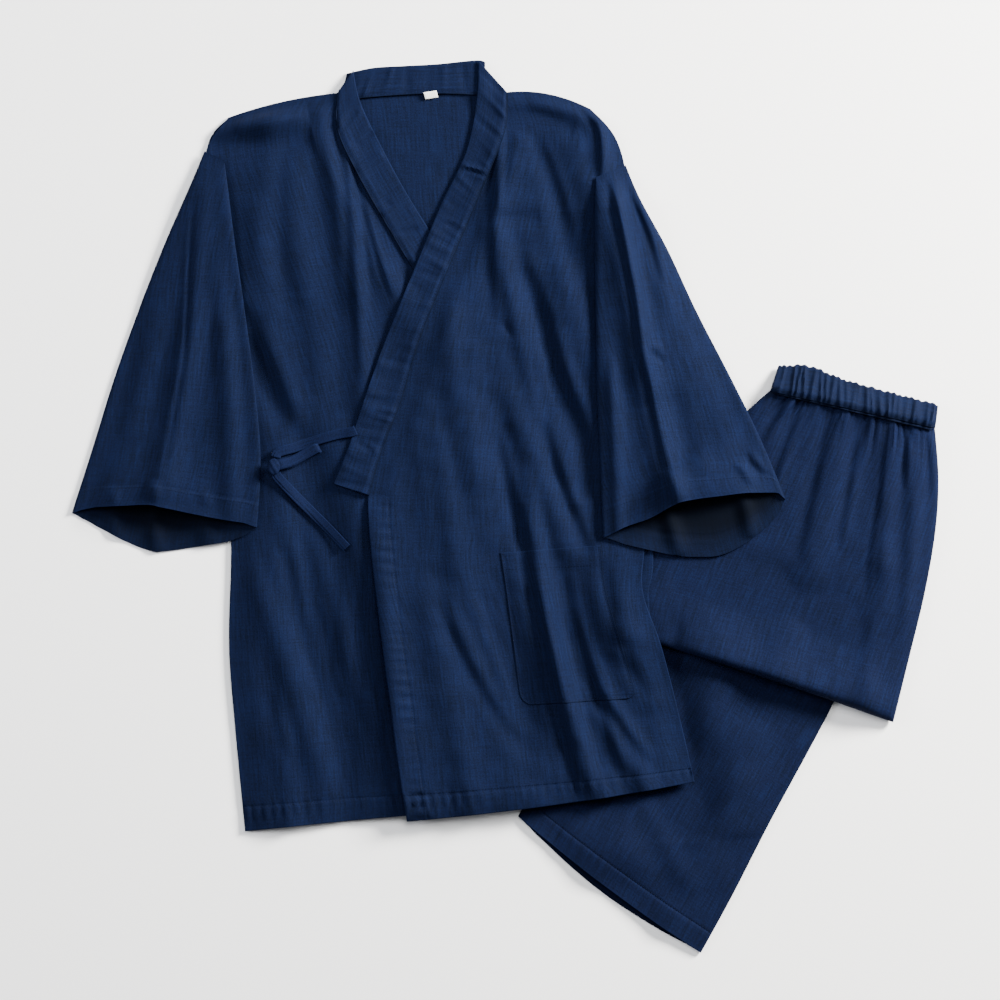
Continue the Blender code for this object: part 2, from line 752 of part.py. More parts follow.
def jacket(pile):
    """Wrap jacket: back, two fronts, collar, pocket, sleeves, label and tie."""
    group = bpy.data.objects.new("jacket", None)
    bpy.context.scene.collection.objects.link(group)
    lay_panel("jacket_back", BACK, (16,), (0.0, 1.0), (), 0.0, NAVY, group, pile)
    lay_rows("collar_neck", COLLAR_NECK, 2, BAND_WALL, NAVY_COLLAR, group, pile)
    lay_rows("label", LABEL, 2, LABEL_WALL, WHITE, group, pile)
    places, _, top = lay_panel(
        "front_under", FRONT_UNDER, (12,), (0.0, 1.0), FOLDS_UNDER, 2.0, NAVY, group, pile,
    )
    lay_collar("collar_under", (places, top[:, -1, :2]), COLLAR_UNDER_FREE, pile, group)
    places, across, top = lay_panel(
        "front_over", FRONT_OVER, (6, 5, 2), (0.0, *POCKET_ACROSS, 1.0), FOLDS_OVER, 2.0,
        NAVY, group, pile,
    )
    lay_collar("collar_over", (places, top[:, 0, :2]), COLLAR_OVER_FREE, pile, group)
    pocket((places, across, top), group, pile)
    lay_tube(
        "sleeve_right", SLEEVE_RIGHT, 10, SLEEVE_HOLLOW, FOLDS_SLEEVE_RIGHT, (True, False),
        NAVY, group, pile,
    )
    lay_tube(
        "sleeve_left", SLEEVE_LEFT, 10, SLEEVE_HOLLOW, FOLDS_SLEEVE_LEFT, (True, False),
        NAVY, group, pile,
    )
    tie(pile, group)


def lay_rows(name, table, columns, wall, colour, group, pile):
    """Lays a small sheet whose rows are all in its table."""
    places = stations(table, COLLAR_STEP)
    grid = ground_grid(table, places, fractions((0.0, 1.0), (columns,)))
    heights = lay(grid, pile, SEAM_GAP, 1)
    faces = grid_faces(*grid.shape[:2])
    make_sheet(name, raised(grid, heights), faces, wall, colour, group, pile)


def build():
    """Lays the trousers first and the jacket over them."""
    clear_scene()
    pile = Pile()
    trousers(pile)
    jacket(pile)


build()
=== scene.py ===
"""Jinbei set laid flat: a navy wrap jacket with its tie knotted, lying partly on its trousers.

Every piece of cloth is a thin closed shell. Its ground plan comes from a short table of rows, its
heights from what it lies on, and its folds from tables of ridges and creases.
Lengths are millimetres until a mesh is made, with +X to the jacket's left side and +Y to its
collar. Creases are placed by the photograph's columns and rows, 1.06 mm for each pixel.
"""

import logging
import math
import random
from dataclasses import dataclass, field
from enum import Enum
from typing import NamedTuple, Sequence

import bpy
import numpy as np
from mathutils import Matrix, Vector
from mathutils.bvhtree import BVHTree


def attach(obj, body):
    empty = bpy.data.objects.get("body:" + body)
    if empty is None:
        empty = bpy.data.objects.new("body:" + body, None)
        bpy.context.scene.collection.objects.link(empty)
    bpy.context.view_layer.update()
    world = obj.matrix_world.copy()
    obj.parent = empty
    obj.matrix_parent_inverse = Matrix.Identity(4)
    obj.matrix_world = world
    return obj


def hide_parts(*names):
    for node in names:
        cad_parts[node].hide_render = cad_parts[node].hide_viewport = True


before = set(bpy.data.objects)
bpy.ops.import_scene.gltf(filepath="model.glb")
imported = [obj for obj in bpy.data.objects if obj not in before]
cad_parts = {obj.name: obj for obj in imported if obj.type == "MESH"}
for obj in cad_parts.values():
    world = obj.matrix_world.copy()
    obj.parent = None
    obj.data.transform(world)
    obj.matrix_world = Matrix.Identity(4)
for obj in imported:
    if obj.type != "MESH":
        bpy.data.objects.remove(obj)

LOG = logging.getLogger("jinbei")
MM = 0.001
PIXEL = 1.06
PHOTO_MIDDLE = (505.0, 506.5)
CELL = 3.0
REACH = 510.0
SKY = 500.0
DOWN = Vector((0.0, 0.0, -1.0))
CLOTH_WALL = 1.3
BAND_WALL = 2.6
LAYER_GAP = 0.5
MESH_STEP = 3.6
HEM_WIDTH = 22.0
# Distances in from an edge that carries a hem: close together at the edge and at the stitching.
HEM_STEPS = (0.0, 0.5, 1.3, 2.6, 5.0, 8.5, 12.0, 15.5, 18.5, 20.3, 21.2, 22.0, 22.8, 23.7, 25.5, 28.0)
# Distances in from an edge that is only turned.
TURNED_STEPS = (0.0, 0.5, 1.3, 2.6, 4.6, 7.4)


def smoothstep(value: np.ndarray) -> np.ndarray:
    """Run from 0 to 1 with level ends."""
    bounded = np.clip(value, 0.0, 1.0)
    return bounded * bounded * (3.0 - 2.0 * bounded)


def through(table: np.ndarray, places: np.ndarray) -> np.ndarray:
    """Read a table between its rows, on a smooth curve through all rows.

    Args:
        table: One row of values for each whole place.
        places: Places along the table, 0 for its first row.

    Returns:
        One row of values for each place.
    """
    last = len(table) - 1
    low = np.clip(places.astype(int), 0, last - 1)
    part = (places - low)[:, None]
    before, start, end, after = (table[np.clip(low + step, 0, last)] for step in (-1, 0, 1, 2))
    return 0.5 * (
        2.0 * start
        + (end - before) * part
        + (2.0 * before - 5.0 * start + 4.0 * end - after) * part**2
        + (3.0 * start - before - 3.0 * end + after) * part**3
    )


def spread(length: float, step: float, start: Sequence[float], end: Sequence[float]) -> np.ndarray:
    """Place lines over a length, close together at both ends.

    Args:
        length: Length to cover.
        step: Distance between the lines away from the ends.
        start: Distances of the first lines from the start.
        end: Distances of the last lines from the end.

    Returns:
        Rising distances from 0 to the length.
    """
    room = length - start[-1] - end[-1]
    count = max(2, round(room / step))
    middle = start[-1] + room * np.arange(1, count) / count
    return np.concatenate((start, middle, length - np.array(end)[::-1]))


class Profile(Enum):
    """Section of a crease, seen across its line."""

    RIDGE = "ridge"
    STEP = "step"


@dataclass(frozen=True)
class Crease:
    """A soft crease along a listed path.

    A ridge with a negative height is a trough. A step stands higher on the right of its line,
    and with a negative height on its left, looking from its first place to its last.
    """

    path: tuple[tuple[float, float], ...]
    width: float
    height: float
    profile: Profile = Profile.RIDGE
    ends_open: bool = False

    def route(self) -> np.ndarray:
        """Return the crease's line in millimetres, smooth where it has three places or more."""
        places = np.array(self.path, dtype=float)
        line = np.column_stack(
            ((places[:, 0] - PHOTO_MIDDLE[0]) * PIXEL, (PHOTO_MIDDLE[1] - places[:, 1]) * PIXEL)
        )
        if len(line) < 3:
            return line
        return through(line, np.linspace(0.0, len(line) - 1.0, 4 * len(line) - 3))

    def relief(self, grid: np.ndarray) -> np.ndarray:
        """Return the height that the crease adds at each ground point.

        Args:
            grid: Ground points, rows by columns by two.

        Returns:
            Heights, rows by columns.
        """
        route = self.route()
        lengths = np.linalg.norm(np.diff(route, axis=0), axis=1)
        total = lengths.sum()
        away = np.full(grid.shape[:2], np.inf)
        along = np.zeros(grid.shape[:2])
        side = np.zeros(grid.shape[:2])
        done = 0.0
        for start, end, length in zip(route, route[1:], lengths):
            run = end - start
            part = np.clip(((grid - start) @ run) / (run @ run), 0.0, 1.0)
            offset = grid - start - part[..., None] * run
            distance = np.linalg.norm(offset, axis=2)
            nearer = distance < away
            away = np.where(nearer, distance, away)
            along = np.where(nearer, (done + part * length) / total, along)
            side = np.where(nearer, np.sign(offset[..., 0] * run[1] - offset[..., 1] * run[0]), side)
            done += length
        fade = np.ones(grid.shape[:2])
        if not self.ends_open:
            fade = np.sqrt(np.clip(np.sin(math.pi * along), 0.0, 1.0))
        ratio = away / self.width
        bell = np.exp(-(ratio**2))
        if self.profile is Profile.STEP:
            bell = bell * ratio * side * 1.16
        return self.height * fade * bell


@dataclass(frozen=True)
class Fold:
    """A main fold, as the frame has it: a soft ridge between two places in millimetres."""

    from_x: float
    from_y: float
    to_x: float
    to_y: float
    width: float
    height: float

    def relief(self, grid: np.ndarray) -> np.ndarray:
        """Return the height that the fold adds at each ground point."""
        start = np.array((self.from_x, self.from_y))
        run = np.array((self.to_x, self.to_y)) - start
        length = math.hypot(run[0], run[1])
        along = ((grid - start) @ run) / length
        beside = ((grid - start) @ np.array((-run[1], run[0]))) / length
        # Beyond its ends a fold runs out over three times its width.
        beyond = np.maximum(np.maximum(-along, along - length), 0.0) / 3.0
        return self.height * np.exp(-(beside**2 + beyond**2) / self.width**2)


def piled(grid: np.ndarray, folds: Sequence[Fold]) -> np.ndarray:
    """Return the height of main folds; where two meet they run into each other, not double."""
    raised = np.zeros(grid.shape[:2])
    sunk = np.zeros(grid.shape[:2])
    for fold in folds:
        height = fold.relief(grid)
        if fold.height > 0.0:
            raised += height**3
        else:
            sunk += height
    return np.cbrt(raised) + sunk


class Row(NamedTuple):
    """One section across a piece: its two ends on the ground and how far its middle hangs up."""

    left_x: float
    left_y: float
    right_x: float
    right_y: float
    sag: float = 0.0
    under_sag: float = 0.0


def rumple(grid: np.ndarray, seed: int, height: float, wave: float) -> np.ndarray:
    """Return a slight unevenness of handled cloth, from a few crossing waves.

    Args:
        grid: Ground points, rows by columns by two.
        seed: Fixed number that sets the waves.
        height: Rough height of the waves.
        wave: Length of the shortest wave.

    Returns:
        Heights, rows by columns.
    """
    source = random.Random(seed)
    total = np.zeros(grid.shape[:2])
    for _ in range(12):
        angle = source.uniform(0.0, math.pi)
        length = wave * source.uniform(1.0, 3.2)
        phase = source.uniform(0.0, 2.0 * math.pi)
        heading = grid[..., 0] * math.cos(angle) + grid[..., 1] * math.sin(angle)
        total += np.sin(2.0 * math.pi * heading / length + phase)
    return height * total / math.sqrt(12.0)


def grid_faces(rows: int, columns: int) -> list[tuple[int, ...]]:
    """Return the quads of a grid, seen from above where its rows run down."""
    return [
        (row * columns + column, (row + 1) * columns + column,
         (row + 1) * columns + column + 1, row * columns + column + 1)
        for row in range(rows - 1)
        for column in range(columns - 1)
    ]


class Bed:
    """Heights of all that is laid so far, on an even raster over the ground."""

    def __init__(self) -> None:
        """Start with bare ground."""
        self.count = int(2 * REACH / CELL) + 1
        self.heights = np.zeros((self.count, self.count))

    def copy(self) -> "Bed":
        """Return a bed with the same heights."""
        other = Bed()
        other.heights = self.heights.copy()
        return other

    def add(self, points: np.ndarray, faces: list[tuple[int, ...]]) -> None:
        """Raise the bed to the upper surface of a piece."""
        tree = BVHTree.FromPolygons([Vector(point) for point in points], faces)
        low = np.floor((points.min(axis=0)[:2] + REACH) / CELL).astype(int)
        high = np.ceil((points.max(axis=0)[:2] + REACH) / CELL).astype(int)
        for row in range(max(low[1], 0), min(high[1] + 1, self.count)):
            for column in range(max(low[0], 0), min(high[0] + 1, self.count)):
                place = Vector((column * CELL - REACH, row * CELL - REACH, SKY))
                hit = tree.ray_cast(place, DOWN)[0]
                if hit is not None:
                    self.heights[row, column] = max(self.heights[row, column], hit.z)

    def lay(self, grid: np.ndarray, gap: float, slack: int) -> np.ndarray:
        """Return the underside heights of a sheet that comes to lie on the bed.

        Args:
            grid: The sheet's ground points, rows by columns by two.
            gap: Distance kept from what is beneath.
            slack: Number of steps in which the sheet is drawn level between what it rests on.

        Returns:
            Heights, rows by columns.
        """
        rests = np.where(self.heights > 0.05, self.heights + gap, 0.0)
        rests = np.max(neighbours(rests), axis=0)
        level = rests
        for _ in range(slack):
            wide = np.pad(level, 1, mode="edge")
            drawn = 0.25 * (wide[:-2, 1:-1] + wide[2:, 1:-1] + wide[1:-1, :-2] + wide[1:-1, 2:])
            level = np.maximum(drawn, rests)
        for _ in range(2):
            level = np.mean(neighbours(level), axis=0)
        return sample(level, grid)


def neighbours(raster: np.ndarray) -> np.ndarray:
    """Return a raster's nine shifted copies, row by row, with the raster itself in the middle."""
    wide = np.pad(raster, 1, mode="edge")
    rows, columns = raster.shape
    return np.array([wide[i:i + rows, j:j + columns] for i in range(3) for j in range(3)])


def sample(raster: np.ndarray, grid: np.ndarray) -> np.ndarray:
    """Read a raster of the bed at ground points, evenly between its cells."""
    places = np.clip((grid + REACH) / CELL, 0.0, raster.shape[0] - 1.001)
    low = places.astype(int)
    part = places - low
    x, y = low[..., 0], low[..., 1]
    near = raster[y, x] * (1.0 - part[..., 0]) + raster[y, x + 1] * part[..., 0]
    far = raster[y + 1, x] * (1.0 - part[..., 0]) + raster[y + 1, x + 1] * part[..., 0]
    return near * (1.0 - part[..., 1]) + far * part[..., 1]


def linear(shade: str) -> tuple[float, float, float, float]:
    """Turn an sRGB hex colour into linear values with full opacity."""
    parts = [int(shade[index:index + 2], 16) / 255.0 for index in (1, 3, 5)]
    turned = [v / 12.92 if v <= 0.04045 else ((v + 0.055) / 1.055) ** 2.4 for v in parts]
    return (turned[0], turned[1], turned[2], 1.0)


def add_node(
    tree: bpy.types.NodeTree, kind: str, settings: dict[str, object], links: dict[str, object]
) -> bpy.types.Node:
    """Add a node to a tree with its settings and links.

    Args:
        tree: Tree that takes the node.
        kind: Blender's name for the node's type.
        settings: Values by the name of a property, or of an input that starts with a capital.
        links: Output sockets by the name or number of the input that they feed.

    Returns:
        The new node.
    """
    node = tree.nodes.new(kind)
    for name, value in settings.items():
        if name in node.inputs:
            node.inputs[name].default_value = value
        else:
            setattr(node, name, value)
    for name, output in links.items():
        tree.links.new(output, node.inputs[name])
    return node


def bare_material(name: str) -> bpy.types.Material:
    """Return a new material whose node tree is still empty."""
    material = bpy.data.materials.new(name)
    material.use_nodes = True
    material.node_tree.nodes.clear()
    return material


@dataclass(frozen=True)
class Cotton:
    """Plain-woven dyed cotton: matt, with a fine weave and slubs that run along the warp.

    The light catches single threads, so the navy looks slightly speckled, and thicker threads
    show as faint long streaks. Edges and hems are painted a little paler: partly wear, partly a
    painted highlight where they catch the light. Inside tubes and beside seams the colour is
    painted darker, a painted shade for the shadow there.
    """

    name: str
    shade: str = "#080f24"
    thread_shade: str = "#0a142e"
    deep_shade: str = "#050a18"
    # Inside a tube and beside a seam the colour is painted darker: painted shade for the shadow where little
    # light comes.
    painted_inside_shadow_colour: str = "#010308"
    roughness: float = 0.82
    sheen: float = 0.03
    painted_shade_strength: float = 0.93

    # Real threads are about 0.4 mm apart, too fine for the render, so the weave is drawn at 1.7 mm.
    weave_pitch = 1.7
    slub_width = 2.2
    slub_length = 34.0

    def build(self) -> bpy.types.Material:
        """Return the material, its patterns laid in the piece's own UV map in metres."""
        material = bare_material(self.name)
        tree = material.node_tree
        grain = add_node(tree, "ShaderNodeUVMap", {"uv_map": "grain"}, {}).outputs["UV"]
        slub_scale = (1.0 / (self.slub_width * MM), 1.0 / (self.slub_length * MM), 1.0)
        slub_place = add_node(
            tree, "ShaderNodeMapping", {"Scale": slub_scale}, {"Vector": grain}
        ).outputs["Vector"]
        slub = add_node(
            tree, "ShaderNodeTexNoise", {"Scale": 1.0, "Detail": 3.0, "Roughness": 0.6},
            {"Vector": slub_place},
        ).outputs["Fac"]
        weft_scale = (1.0 / (26.0 * MM), 1.0 / (1.9 * MM), 1.0)
        weft_place = add_node(
            tree, "ShaderNodeMapping", {"Scale": weft_scale}, {"Vector": grain}
        ).outputs["Vector"]
        weft = add_node(
            tree, "ShaderNodeTexNoise", {"Scale": 1.0, "Detail": 2.0, "Roughness": 0.55},
            {"Vector": weft_place},
        ).outputs["Fac"]
        speck = add_node(
            tree, "ShaderNodeTexNoise",
            {"Scale": 1.0 / (self.weave_pitch * MM), "Detail": 2.0, "Roughness": 0.7},
            {"Vector": grain},
        ).outputs["Fac"]
        cloud = add_node(
            tree, "ShaderNodeTexNoise", {"Scale": 1.0 / (60.0 * MM), "Detail": 3.0},
            {"Vector": grain},
        ).outputs["Fac"]
        threads = add_node(
            tree, "ShaderNodeMix", {"data_type": "FLOAT", "Factor": 0.3}, {"A": slub, "B": weft}
        ).outputs["Result"]
        mixed = add_node(
            tree, "ShaderNodeMix", {"data_type": "FLOAT", "Factor": 0.42}, {"A": threads, "B": speck}
        ).outputs["Result"]
        clouded = add_node(
            tree, "ShaderNodeMix", {"data_type": "FLOAT", "Factor": 0.06}, {"A": mixed, "B": cloud}
        ).outputs["Result"]
        ramp = add_node(tree, "ShaderNodeValToRGB", {}, {"Fac": clouded})
        ramp.color_ramp.elements[0].position = 0.38
        ramp.color_ramp.elements[0].color = linear(self.deep_shade)
        ramp.color_ramp.elements[1].position = 0.63
        ramp.color_ramp.elements[1].color = linear(self.thread_shade)
        ramp.color_ramp.elements.new(0.5).color = linear(self.shade)
        # Paler edges: wear and a painted highlight, read from a mesh attribute.
        edge_wear_and_highlight = add_node(tree, "ShaderNodeAttribute", {"attribute_name": "edge_wear_and_highlight"}, {}).outputs["Fac"]
        colour = add_node(
            tree, "ShaderNodeMix", {"data_type": "RGBA", "B": linear(self.thread_shade)},
            {"Factor": edge_wear_and_highlight, "A": ramp.outputs["Color"]},
        )
        # Painted shade: a mesh attribute darkens the colour towards the painted inside shadow colour.
        painted_shade_amount = add_node(tree, "ShaderNodeAttribute", {"attribute_name": "painted_shade_amount"}, {}).outputs["Fac"]
        share = add_node(
            tree, "ShaderNodeMath", {"operation": "MULTIPLY"}, {0: painted_shade_amount}
        )
        share.inputs[1].default_value = self.painted_shade_strength
        shaded_colour_mix = add_node(
            tree, "ShaderNodeMix", {"data_type": "RGBA"}, {"Factor": share.outputs["Value"]}
        )
        # The colour sockets of a mix node come after its number and vector ones.
        tree.links.new(colour.outputs[2], shaded_colour_mix.inputs[6])
        shaded_colour_mix.inputs[7].default_value = linear(self.painted_inside_shadow_colour)
        weave = add_node(
            tree, "ShaderNodeBump", {"Strength": 0.34, "Distance": 0.0006}, {"Height": mixed}
        ).outputs["Normal"]
        shader = add_node(
            tree, "ShaderNodeBsdfPrincipled",
            {"Roughness": self.roughness, "Sheen Weight": self.sheen, "Sheen Roughness": 0.45,
             "Sheen Tint": linear("#3c5aa0"), "Specular IOR Level": 0.035},
            {"Base Color": shaded_colour_mix.outputs[2], "Normal": weave},
        )
        add_node(tree, "ShaderNodeOutputMaterial", {}, {"Surface": shader.outputs["BSDF"]})
        return material


@dataclass(frozen=True)
class LabelTape:
    """Bleached woven polyester tape: smooth, slightly glossy and bare."""

    name: str = "woven_label_tape"
    shade: str = "#e4e6e2"

    def build(self) -> bpy.types.Material:
        """Return the material, with a fine rib across the tape."""
        material = bare_material(self.name)
        tree = material.node_tree
        grain = add_node(tree, "ShaderNodeUVMap", {"uv_map": "grain"}, {}).outputs["UV"]
        rib = add_node(
            tree, "ShaderNodeTexWave", {"Scale": 1.0 / (6.0 * MM)}, {"Vector": grain}
        ).outputs["Fac"]
        bump = add_node(
            tree, "ShaderNodeBump", {"Strength": 0.2, "Distance": 0.0003}, {"Height": rib}
        ).outputs["Normal"]
        shader = add_node(
            tree, "ShaderNodeBsdfPrincipled",
            {"Base Color": linear(self.shade), "Roughness": 0.6, "Sheen Weight": 0.1},
            {"Normal": bump},
        )
        add_node(tree, "ShaderNodeOutputMaterial", {}, {"Surface": shader.outputs["BSDF"]})
        return material


@dataclass(frozen=True)
class SewingThread:
    """Spun polyester sewing thread, dyed to match: it shows as a fine matt line in the cloth."""

    name: str = "spun_sewing_thread"
    shade: str = "#080e22"

    def build(self) -> bpy.types.Material:
        """Return the material, its tone varied from stitch to stitch by place."""
        material = bare_material(self.name)
        tree = material.node_tree
        place = add_node(tree, "ShaderNodeTexCoord", {}, {}).outputs["Object"]
        tone = add_node(
            tree, "ShaderNodeTexNoise", {"Scale": 1.0 / (9.0 * MM)}, {"Vector": place}
        ).outputs["Fac"]
        ramp = add_node(tree, "ShaderNodeValToRGB", {}, {"Fac": tone})
        ramp.color_ramp.elements[0].color = linear("#050a19")
        ramp.color_ramp.elements[1].color = linear(self.shade)
        shader = add_node(
            tree, "ShaderNodeBsdfPrincipled", {"Roughness": 0.7, "Specular IOR Level": 0.05},
            {"Base Color": ramp.outputs["Color"]},
        )
        add_node(tree, "ShaderNodeOutputMaterial", {}, {"Surface": shader.outputs["BSDF"]})
        return material


class Hold(Enum):
    LAID = "laid"
    FOLDED = "folded"
    GATHERED = "gathered"


@dataclass
class Shell:
    """A closed thin shell while it is made: points in millimetres, faces and grain places."""

    points: np.ndarray
    faces: list[tuple[int, ...]]
    grain: np.ndarray
    edge_wear_and_highlight: np.ndarray
    painted_shade_amount: np.ndarray | None = None

    def outward(self) -> None:
        """Turn all faces over where the shell's volume shows that they point inwards."""
        corners = [face[:3] for face in self.faces]
        corners += [(face[0], face[2], face[3]) for face in self.faces if len(face) == 4]
        a, b, c = self.points[np.array(corners)].transpose(1, 0, 2)
        if float((a * np.cross(b, c)).sum()) < 0.0:
            self.faces = [tuple(reversed(face)) for face in self.faces]

    def publish(
        self, name: str, nodes: Sequence[str], slot: str, material: bpy.types.Material
    ) -> bpy.types.Object:
        """Make the piece, give it its finish and put it in place of its nodes.

        Args:
            name: The piece's name.
            nodes: Frame nodes that it stands for.
            slot: Not used.
            material: Its finish.

        Returns:
            The new object.
        """
        self.outward()
        mesh = bpy.data.meshes.new(name)
        mesh.from_pydata((self.points * MM).tolist(), [], self.faces)
        layer = mesh.uv_layers.new(name="grain")
        corners = np.empty(len(mesh.loops), dtype=np.int32)
        mesh.loops.foreach_get("vertex_index", corners)
        layer.data.foreach_set("uv", (self.grain[corners] * MM).astype(np.float32).ravel())
        # Paler edges, wear and a painted highlight, as a mesh attribute.
        tone = mesh.attributes.new("edge_wear_and_highlight", "FLOAT", "POINT")
        tone.data.foreach_set("value", self.edge_wear_and_highlight.astype(np.float32))
        # Painted shade inside tubes and beside seams, as a mesh attribute.
        if self.painted_shade_amount is not None:
            inside = mesh.attributes.new("painted_shade_amount", "FLOAT", "POINT")
            inside.data.foreach_set("value", self.painted_shade_amount.astype(np.float32))
        mesh.shade_smooth()
        mesh.set_sharp_from_angle(angle=math.radians(62.0))
        mesh.materials.append(material)
        piece = bpy.data.objects.new(name, mesh)
        bpy.context.scene.collection.objects.link(piece)
        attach(piece, "root")
        if nodes:
            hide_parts(*nodes)
        return piece


def arc(grid: np.ndarray) -> np.ndarray:
    """Return each point's distance across and along a grid, which is its place in the cloth."""
    across = np.zeros(grid.shape[:2])
    across[:, 1:] = np.cumsum(np.linalg.norm(np.diff(grid, axis=1), axis=2), axis=1)
    across -= across[:, -1:] / 2.0
    middle = grid[:, grid.shape[1] // 2]
    along = np.zeros(grid.shape[0])
    along[1:] = np.cumsum(np.linalg.norm(np.diff(middle, axis=0), axis=1))
    return np.dstack((across, np.repeat(along[:, None], grid.shape[1], axis=1)))


def declare_cut(
    surface: np.ndarray
) -> None:
    """Work out a piece's flat places in metres from its surface; the result is not kept.
    Declare a piece's flat cut, as large as what shows of it, all round on a tube.

    Args:
        surface: Its upper surface, or a tube's upper layer.
    """
    places = arc(surface) * MM


@dataclass
class Sheet:
    """One layer of cloth: its plan from a table of rows and its heights from what it lies on."""

    name: str
    rows: tuple[Row, ...]
    wall: float = CLOTH_WALL
    folds: tuple[Fold, ...] = ()
    creases: tuple[Crease, ...] = ()
    loft: float = 0.0
    roll: float = 30.0
    edge_lift: float = 0.3
    gap: float = LAYER_GAP
    slack: int = 160
    step: float = MESH_STEP
    left: tuple[float, ...] = TURNED_STEPS
    right: tuple[float, ...] = TURNED_STEPS
    top: tuple[float, ...] = TURNED_STEPS
    bottom: tuple[float, ...] = TURNED_STEPS
    rumple_height: float = 0.3
    # Strength of the painted shade along sewn edges, for the shadow in a seam's groove.
    painted_seam_shadow: float = 0.0
    seed: int = 1
    grid: np.ndarray = field(default_factory=lambda: np.zeros((0, 0, 2)), init=False)
    surface: np.ndarray = field(default_factory=lambda: np.zeros((0, 0, 3)), init=False)

    def plan(self, sag_name: str = "sag") -> np.ndarray:
        """Return the ground points: lines along the piece by lines across it."""
        table = np.array(self.rows, dtype=float)
        dense = through(table, np.linspace(0.0, len(table) - 1.0, 400))
        middle = 0.5 * (dense[:, 0:2] + dense[:, 2:4])
        lengths = np.concatenate(([0.0], np.cumsum(np.linalg.norm(np.diff(middle, axis=0), axis=1))))
        along = spread(lengths[-1], self.step, self.top, self.bottom)
        places = np.interp(along, lengths, np.linspace(0.0, len(table) - 1.0, 400))
        values = through(table, places)
        left, right = values[:, 0:2], values[:, 2:4]
        sag = values[:, Row._fields.index(sag_name)]
        widths = np.linalg.norm(right - left, axis=1)
        count = len(spread(widths.max(), self.step, self.left, self.right))
        grid = []
        for start, end, width, hang in zip(left, right, widths, sag):
            step = (width - self.left[-1] - self.right[-1]) / (count - len(self.left) - len(self.right) + 1)
            across = spread(width, step, self.left, self.right) / width
            line = start + np.outer(across, end - start)
            line[:, 1] += hang * 4.0 * across * (1.0 - across)
            grid.append(line)
        return np.array(grid)

    def edge_distance(self) -> np.ndarray:
        """Return each point's distance to the nearest side edge."""
        from_left = np.linalg.norm(self.grid - self.grid[:, :1], axis=2)
        from_right = np.linalg.norm(self.grid - self.grid[:, -1:], axis=2)
        return np.minimum(from_left, from_right)

    def relief(self) -> np.ndarray:
        """Return the height of folds, creases and rumples over the bed, never below it."""
        total = self.loft + rumple(self.grid, self.seed, self.rumple_height, 22.0)
        total = total + piled(self.grid, self.folds)
        flat = smoothstep(self.edge_distance() / self.roll)
        total = total * (self.edge_lift + (1.0 - self.edge_lift) * flat)
        for crease in self.creases:
            total = total + crease.relief(self.grid)
        return 0.5 * (total + np.sqrt(total**2 + 1.0))

    def lay(self, bed: Bed) -> None:
        """Find the underside on the bed and keep the sheet's upper surface."""
        self.grid = self.plan()
        under = bed.lay(self.grid, self.gap, self.slack) + self.relief()
        self.surface = np.dstack((self.grid, under + self.wall))

    def detail(self) -> np.ndarray:
        """Return what hems and seams add to the upper surface; the plain sheet adds nothing."""
        return np.zeros(self.grid.shape[:2])

    def shell(self) -> Shell:
        """Return the sheet as a closed shell with rounded edges."""
        rows, columns = self.grid.shape[:2]
        top = self.surface.copy()
        top[..., 2] += self.detail()
        under = self.surface - np.array((0.0, 0.0, self.wall))
        rim = np.ones((rows, columns))
        rim[1:-1, 1:-1] = 0.0
        top[..., 2] -= rim * 0.34 * self.wall
        under[..., 2] += rim * 0.34 * self.wall
        self.surface = top
        faces = grid_faces(rows, columns)
        count = rows * columns
        loop = (
            [column for column in range(columns)]
            + [row * columns + columns - 1 for row in range(1, rows)]
            + [(rows - 1) * columns + column for column in range(columns - 2, -1, -1)]
            + [row * columns for row in range(rows - 2, 0, -1)]
        )
        sides = [(a, b, b + count, a + count) for a, b in zip(loop, loop[1:] + loop[:1])]
        lower = [tuple(corner + count for corner in reversed(face)) for face in faces]
        grain = arc(top).reshape(-1, 2)
        edge = np.minimum(self.edge_distance(), self.end_distance())
        # Painted shade beside the seam, for the shadow in its groove; the paler edge is taken off there.
        seam_shadow_mask = np.exp(-((self.seam_distance() / 1.3) ** 2)).reshape(-1)
        # Edges painted paler: partly wear, partly a painted highlight where the rounded edge catches the
        # light.
        edge_wear_and_highlight = (0.25 * np.exp(-((edge / 1.4) ** 2))).reshape(-1)
        if self.painted_seam_shadow > 0.0:
            edge_wear_and_highlight = edge_wear_and_highlight * (1.0 - seam_shadow_mask)
        return Shell(
            np.vstack((top.reshape(-1, 3), under.reshape(-1, 3))),
            faces + lower + sides,
            np.vstack((grain, grain)),
            np.concatenate((edge_wear_and_highlight, edge_wear_and_highlight)),
            np.tile(self.painted_seam_shadow * seam_shadow_mask, 2),
        )

    def stitch_lines(self) -> list[np.ndarray]:
        """Return the lines on the upper surface that are stitched; the plain sheet has none."""
        return []

    def seam_distance(self) -> np.ndarray:
        """Return each point's distance to the edges that a seam draws down."""
        return np.minimum(self.edge_distance(), self.end_distance())

    def end_distance(self) -> np.ndarray:
        """Return each point's distance to the nearer end edge."""
        along = arc(self.grid)[..., 1]
        return np.minimum(along, along[-1:] - along)

    def finish(
        self, bed: Bed, nodes: Sequence[str], slot: str, material: bpy.types.Material,
        hold: Hold, rests_on: Sequence[str],
    ) -> bpy.types.Object:
        """Make the piece and add it to the bed.

        Args:
            bed: What lies beneath, which then carries this piece too.
            nodes: Frame nodes that it stands for.
            slot: The record's material slot.
            material: Its finish.
            hold: Not used.
            rests_on: Not used.

        Returns:
            The new object.
        """
        piece = self.shell().publish(self.name, nodes, slot, material)
        declare_cut(self.surface)
        bed.add(self.surface.reshape(-1, 3), grid_faces(*self.grid.shape[:2]))
        LOG.info("%s: %d by %d lines", self.name, *self.grid.shape[:2])
        return piece


